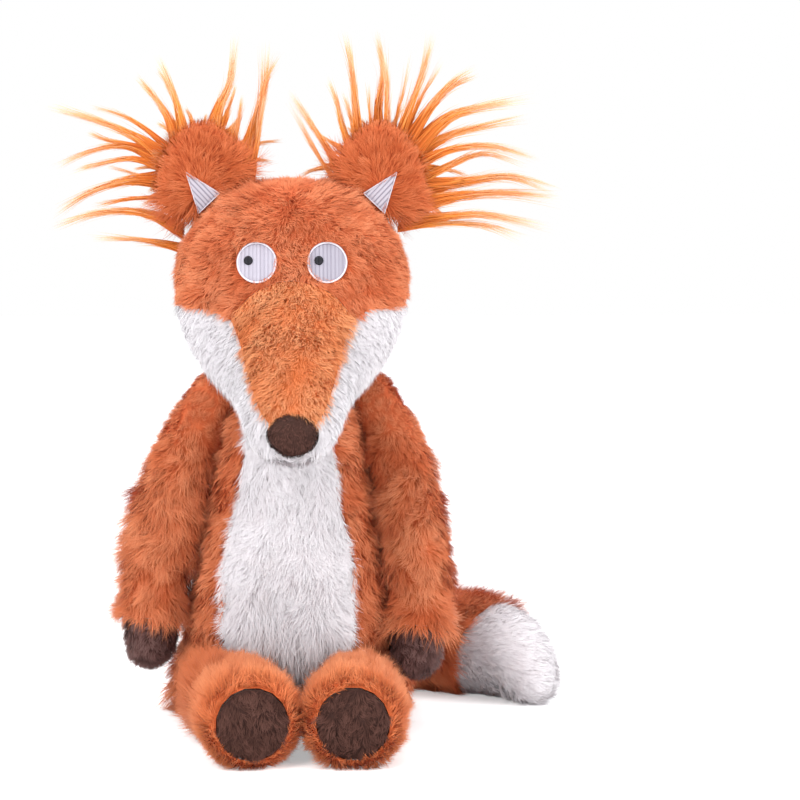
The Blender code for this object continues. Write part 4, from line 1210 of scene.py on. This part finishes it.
def body_panels():
    """Head, torso and tail: node, body, slot, colour, flow, pile, bare places and growth."""
    neck_low, neck_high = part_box("neck")
    throat = ("neck", "head", (0.0, 0.0, neck_low[2]), (0.0, 0.0, neck_high[2]))
    to_tip = along(*TAIL_WAY)
    return [
        ("head_crown", "head", RUST, "rust", head_flow, FACE_PILE, off_eyes, crown),
        ("head_back", "head", RUST, "rust", head_flow, HEAD_PILE, nothing_bare, crown),
        ("snout_top", "head", SNOUT, "snout", snout_flow, SNOUT_PILE, off_eyes, evenly),
        ("cheek_left", "head", WHITE, "cheek", cheek_flow, CHEEK_PILE, nothing_bare, evenly),
        ("cheek_right", "head", WHITE, "cheek", cheek_flow, CHEEK_PILE, nothing_bare, evenly),
        ("chin", "head", WHITE, "white", snout_flow, CHEEK_PILE, nothing_bare, evenly),
        ("nose", "head", BROWN, "brown", snout_flow, NOSE_PILE, nothing_bare, evenly),
        ("neck", throat, RUST, "rust", down_and_out, NECK_PILE, nothing_bare, evenly),
        ("back_panel", "torso", RUST, "rust", down_and_out, BODY_PILE, nothing_bare, seat),
        ("base_panel", "torso", RUST, "rust", down_and_out, BODY_PILE, nothing_bare, seat),
        ("belly_panel", "torso", WHITE, "white", belly_flow, BELLY_PILE, nothing_bare, hem),
        ("tail", "tail", RUST, "rust", to_tip, TAIL_PILE, nothing_bare, over_seam),
        ("tail_tip", "tail", WHITE, "white", to_tip, WHITE_PILE, nothing_bare, evenly),
    ]


def side_panels(side, sign, ear_root):
    """One arm, leg and ear, as in body_panels."""
    arm, leg, ear = f"arm_{side}", f"leg_{side}", f"ear_{side}"
    wrist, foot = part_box(arm)[0][2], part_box(leg)[0][1]
    right = side == "right"
    arm_growth = cuff(wrist, elbow=0.5 if right else 0.0)
    leg_growth = rim(leg, under=0.3 if right else 0.1, outer=0.9 if right else 0.0)
    outward = radial(ear_root - EAR_ROOT_DROP)
    front_growth, back_growth = ear_growth(ear_root, sign), ear_back_growth(ear_root)
    patch, around = off_patch(side), radial(ear_root)
    return [
        (arm, arm, RUST, "rust", down_and_out, ARM_PILE, nothing_bare, arm_growth),
        # The paws take the lighter copy of the brown plush, as painted highlight
        (f"paw_{side}", arm, BROWN, "paw", down_and_out, BROWN_PILE, nothing_bare, evenly),
        (leg, leg, RUST, "leg", leg_flow(foot), LEG_PILE, nothing_bare, leg_growth),
        (f"sole_{side}", leg, BROWN, "brown", down_and_out, BROWN_PILE, nothing_bare, evenly),
        (f"ear_front_{side}", ear, RUST, "ear", outward, EAR_PILE, patch, front_growth),
        (f"ear_back_{side}", ear, LONG, "long", around, LONG_PILE, nothing_bare, back_growth),
    ]


def ear_middle(side):
    low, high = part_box(f"ear_front_{side}")
    return (np.array(low) + np.array(high)) / 2


def dress_ear_and_eye(side, sign, wisps, ear_root, fur):
    """The long hair and embroidery of one side."""
    rng = np.random.default_rng(70 + sign)
    routes = front_wisps(wisps, rng)
    routes += back_wisps(ear_root + np.array((0.0, EAR_BACK, 0.0)), sign, rng)
    long_hair(f"ear_hair_{side}", f"ear_{side}", fur["long"], routes, 80 + sign)
    embroider_eye(side, fur["stitch"], fur["pupil"], 90 + sign)
    embroider_ear(side, fur["stitch"], 95 + sign)


def fill_insides():
    """The stuffing of every sewn part, and the bag of pellets."""
    wadding = inner_material("wadding", (0.74, 0.73, 0.70), (0.9, 0.89, 0.87), 160.0, (1, 1, 0.2))
    pouch = inner_material("pellet cloth", (0.48, 0.48, 0.45), (0.6, 0.6, 0.57), 60.0, (9, 9, 9))
    insides = [("head_stuffing", "head"), ("torso_stuffing", "torso"), ("tail_stuffing", "tail")]
    for side in SIDES:
        insides += [(f"arm_stuffing_{side}", f"arm_{side}"), (f"leg_stuffing_{side}", f"leg_{side}")]
    for seed, (node, body) in enumerate(insides, 200):
        filling(node, body, wadding, seed)
    filling("pellet_bag", "torso", pouch, 190)


def main():
    global frame
    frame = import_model()
    studio()
    sewn = [name for name in frame["nodes"] if not name.startswith(TRIM)]
    tree = tree_of(sewn)
    own_trees = {}
    for side in SIDES:
        limb = [n for n in sewn if n.startswith(("arm_", "paw_")) and n.endswith(side)]
        own_trees[f"arm_{side}"] = tree_of(limb)
    fur = fur_colours()

    panels = body_panels()
    for side, sign, wisps in (("left", 1, LEFT_WISPS), ("right", -1, RIGHT_WISPS)):
        ear_root = ear_middle(side)
        panels += side_panels(side, sign, ear_root)
        dress_ear_and_eye(side, sign, wisps, ear_root, fur)
    fill_insides()
    for seed, (node, body, slot, colour, flow, pile, bare, grow) in enumerate(panels, 1):
        reach = own_trees.get(node, tree)
        furred(node, body, fur[colour], flow, pile, reach, seed, bare, grow)


main()
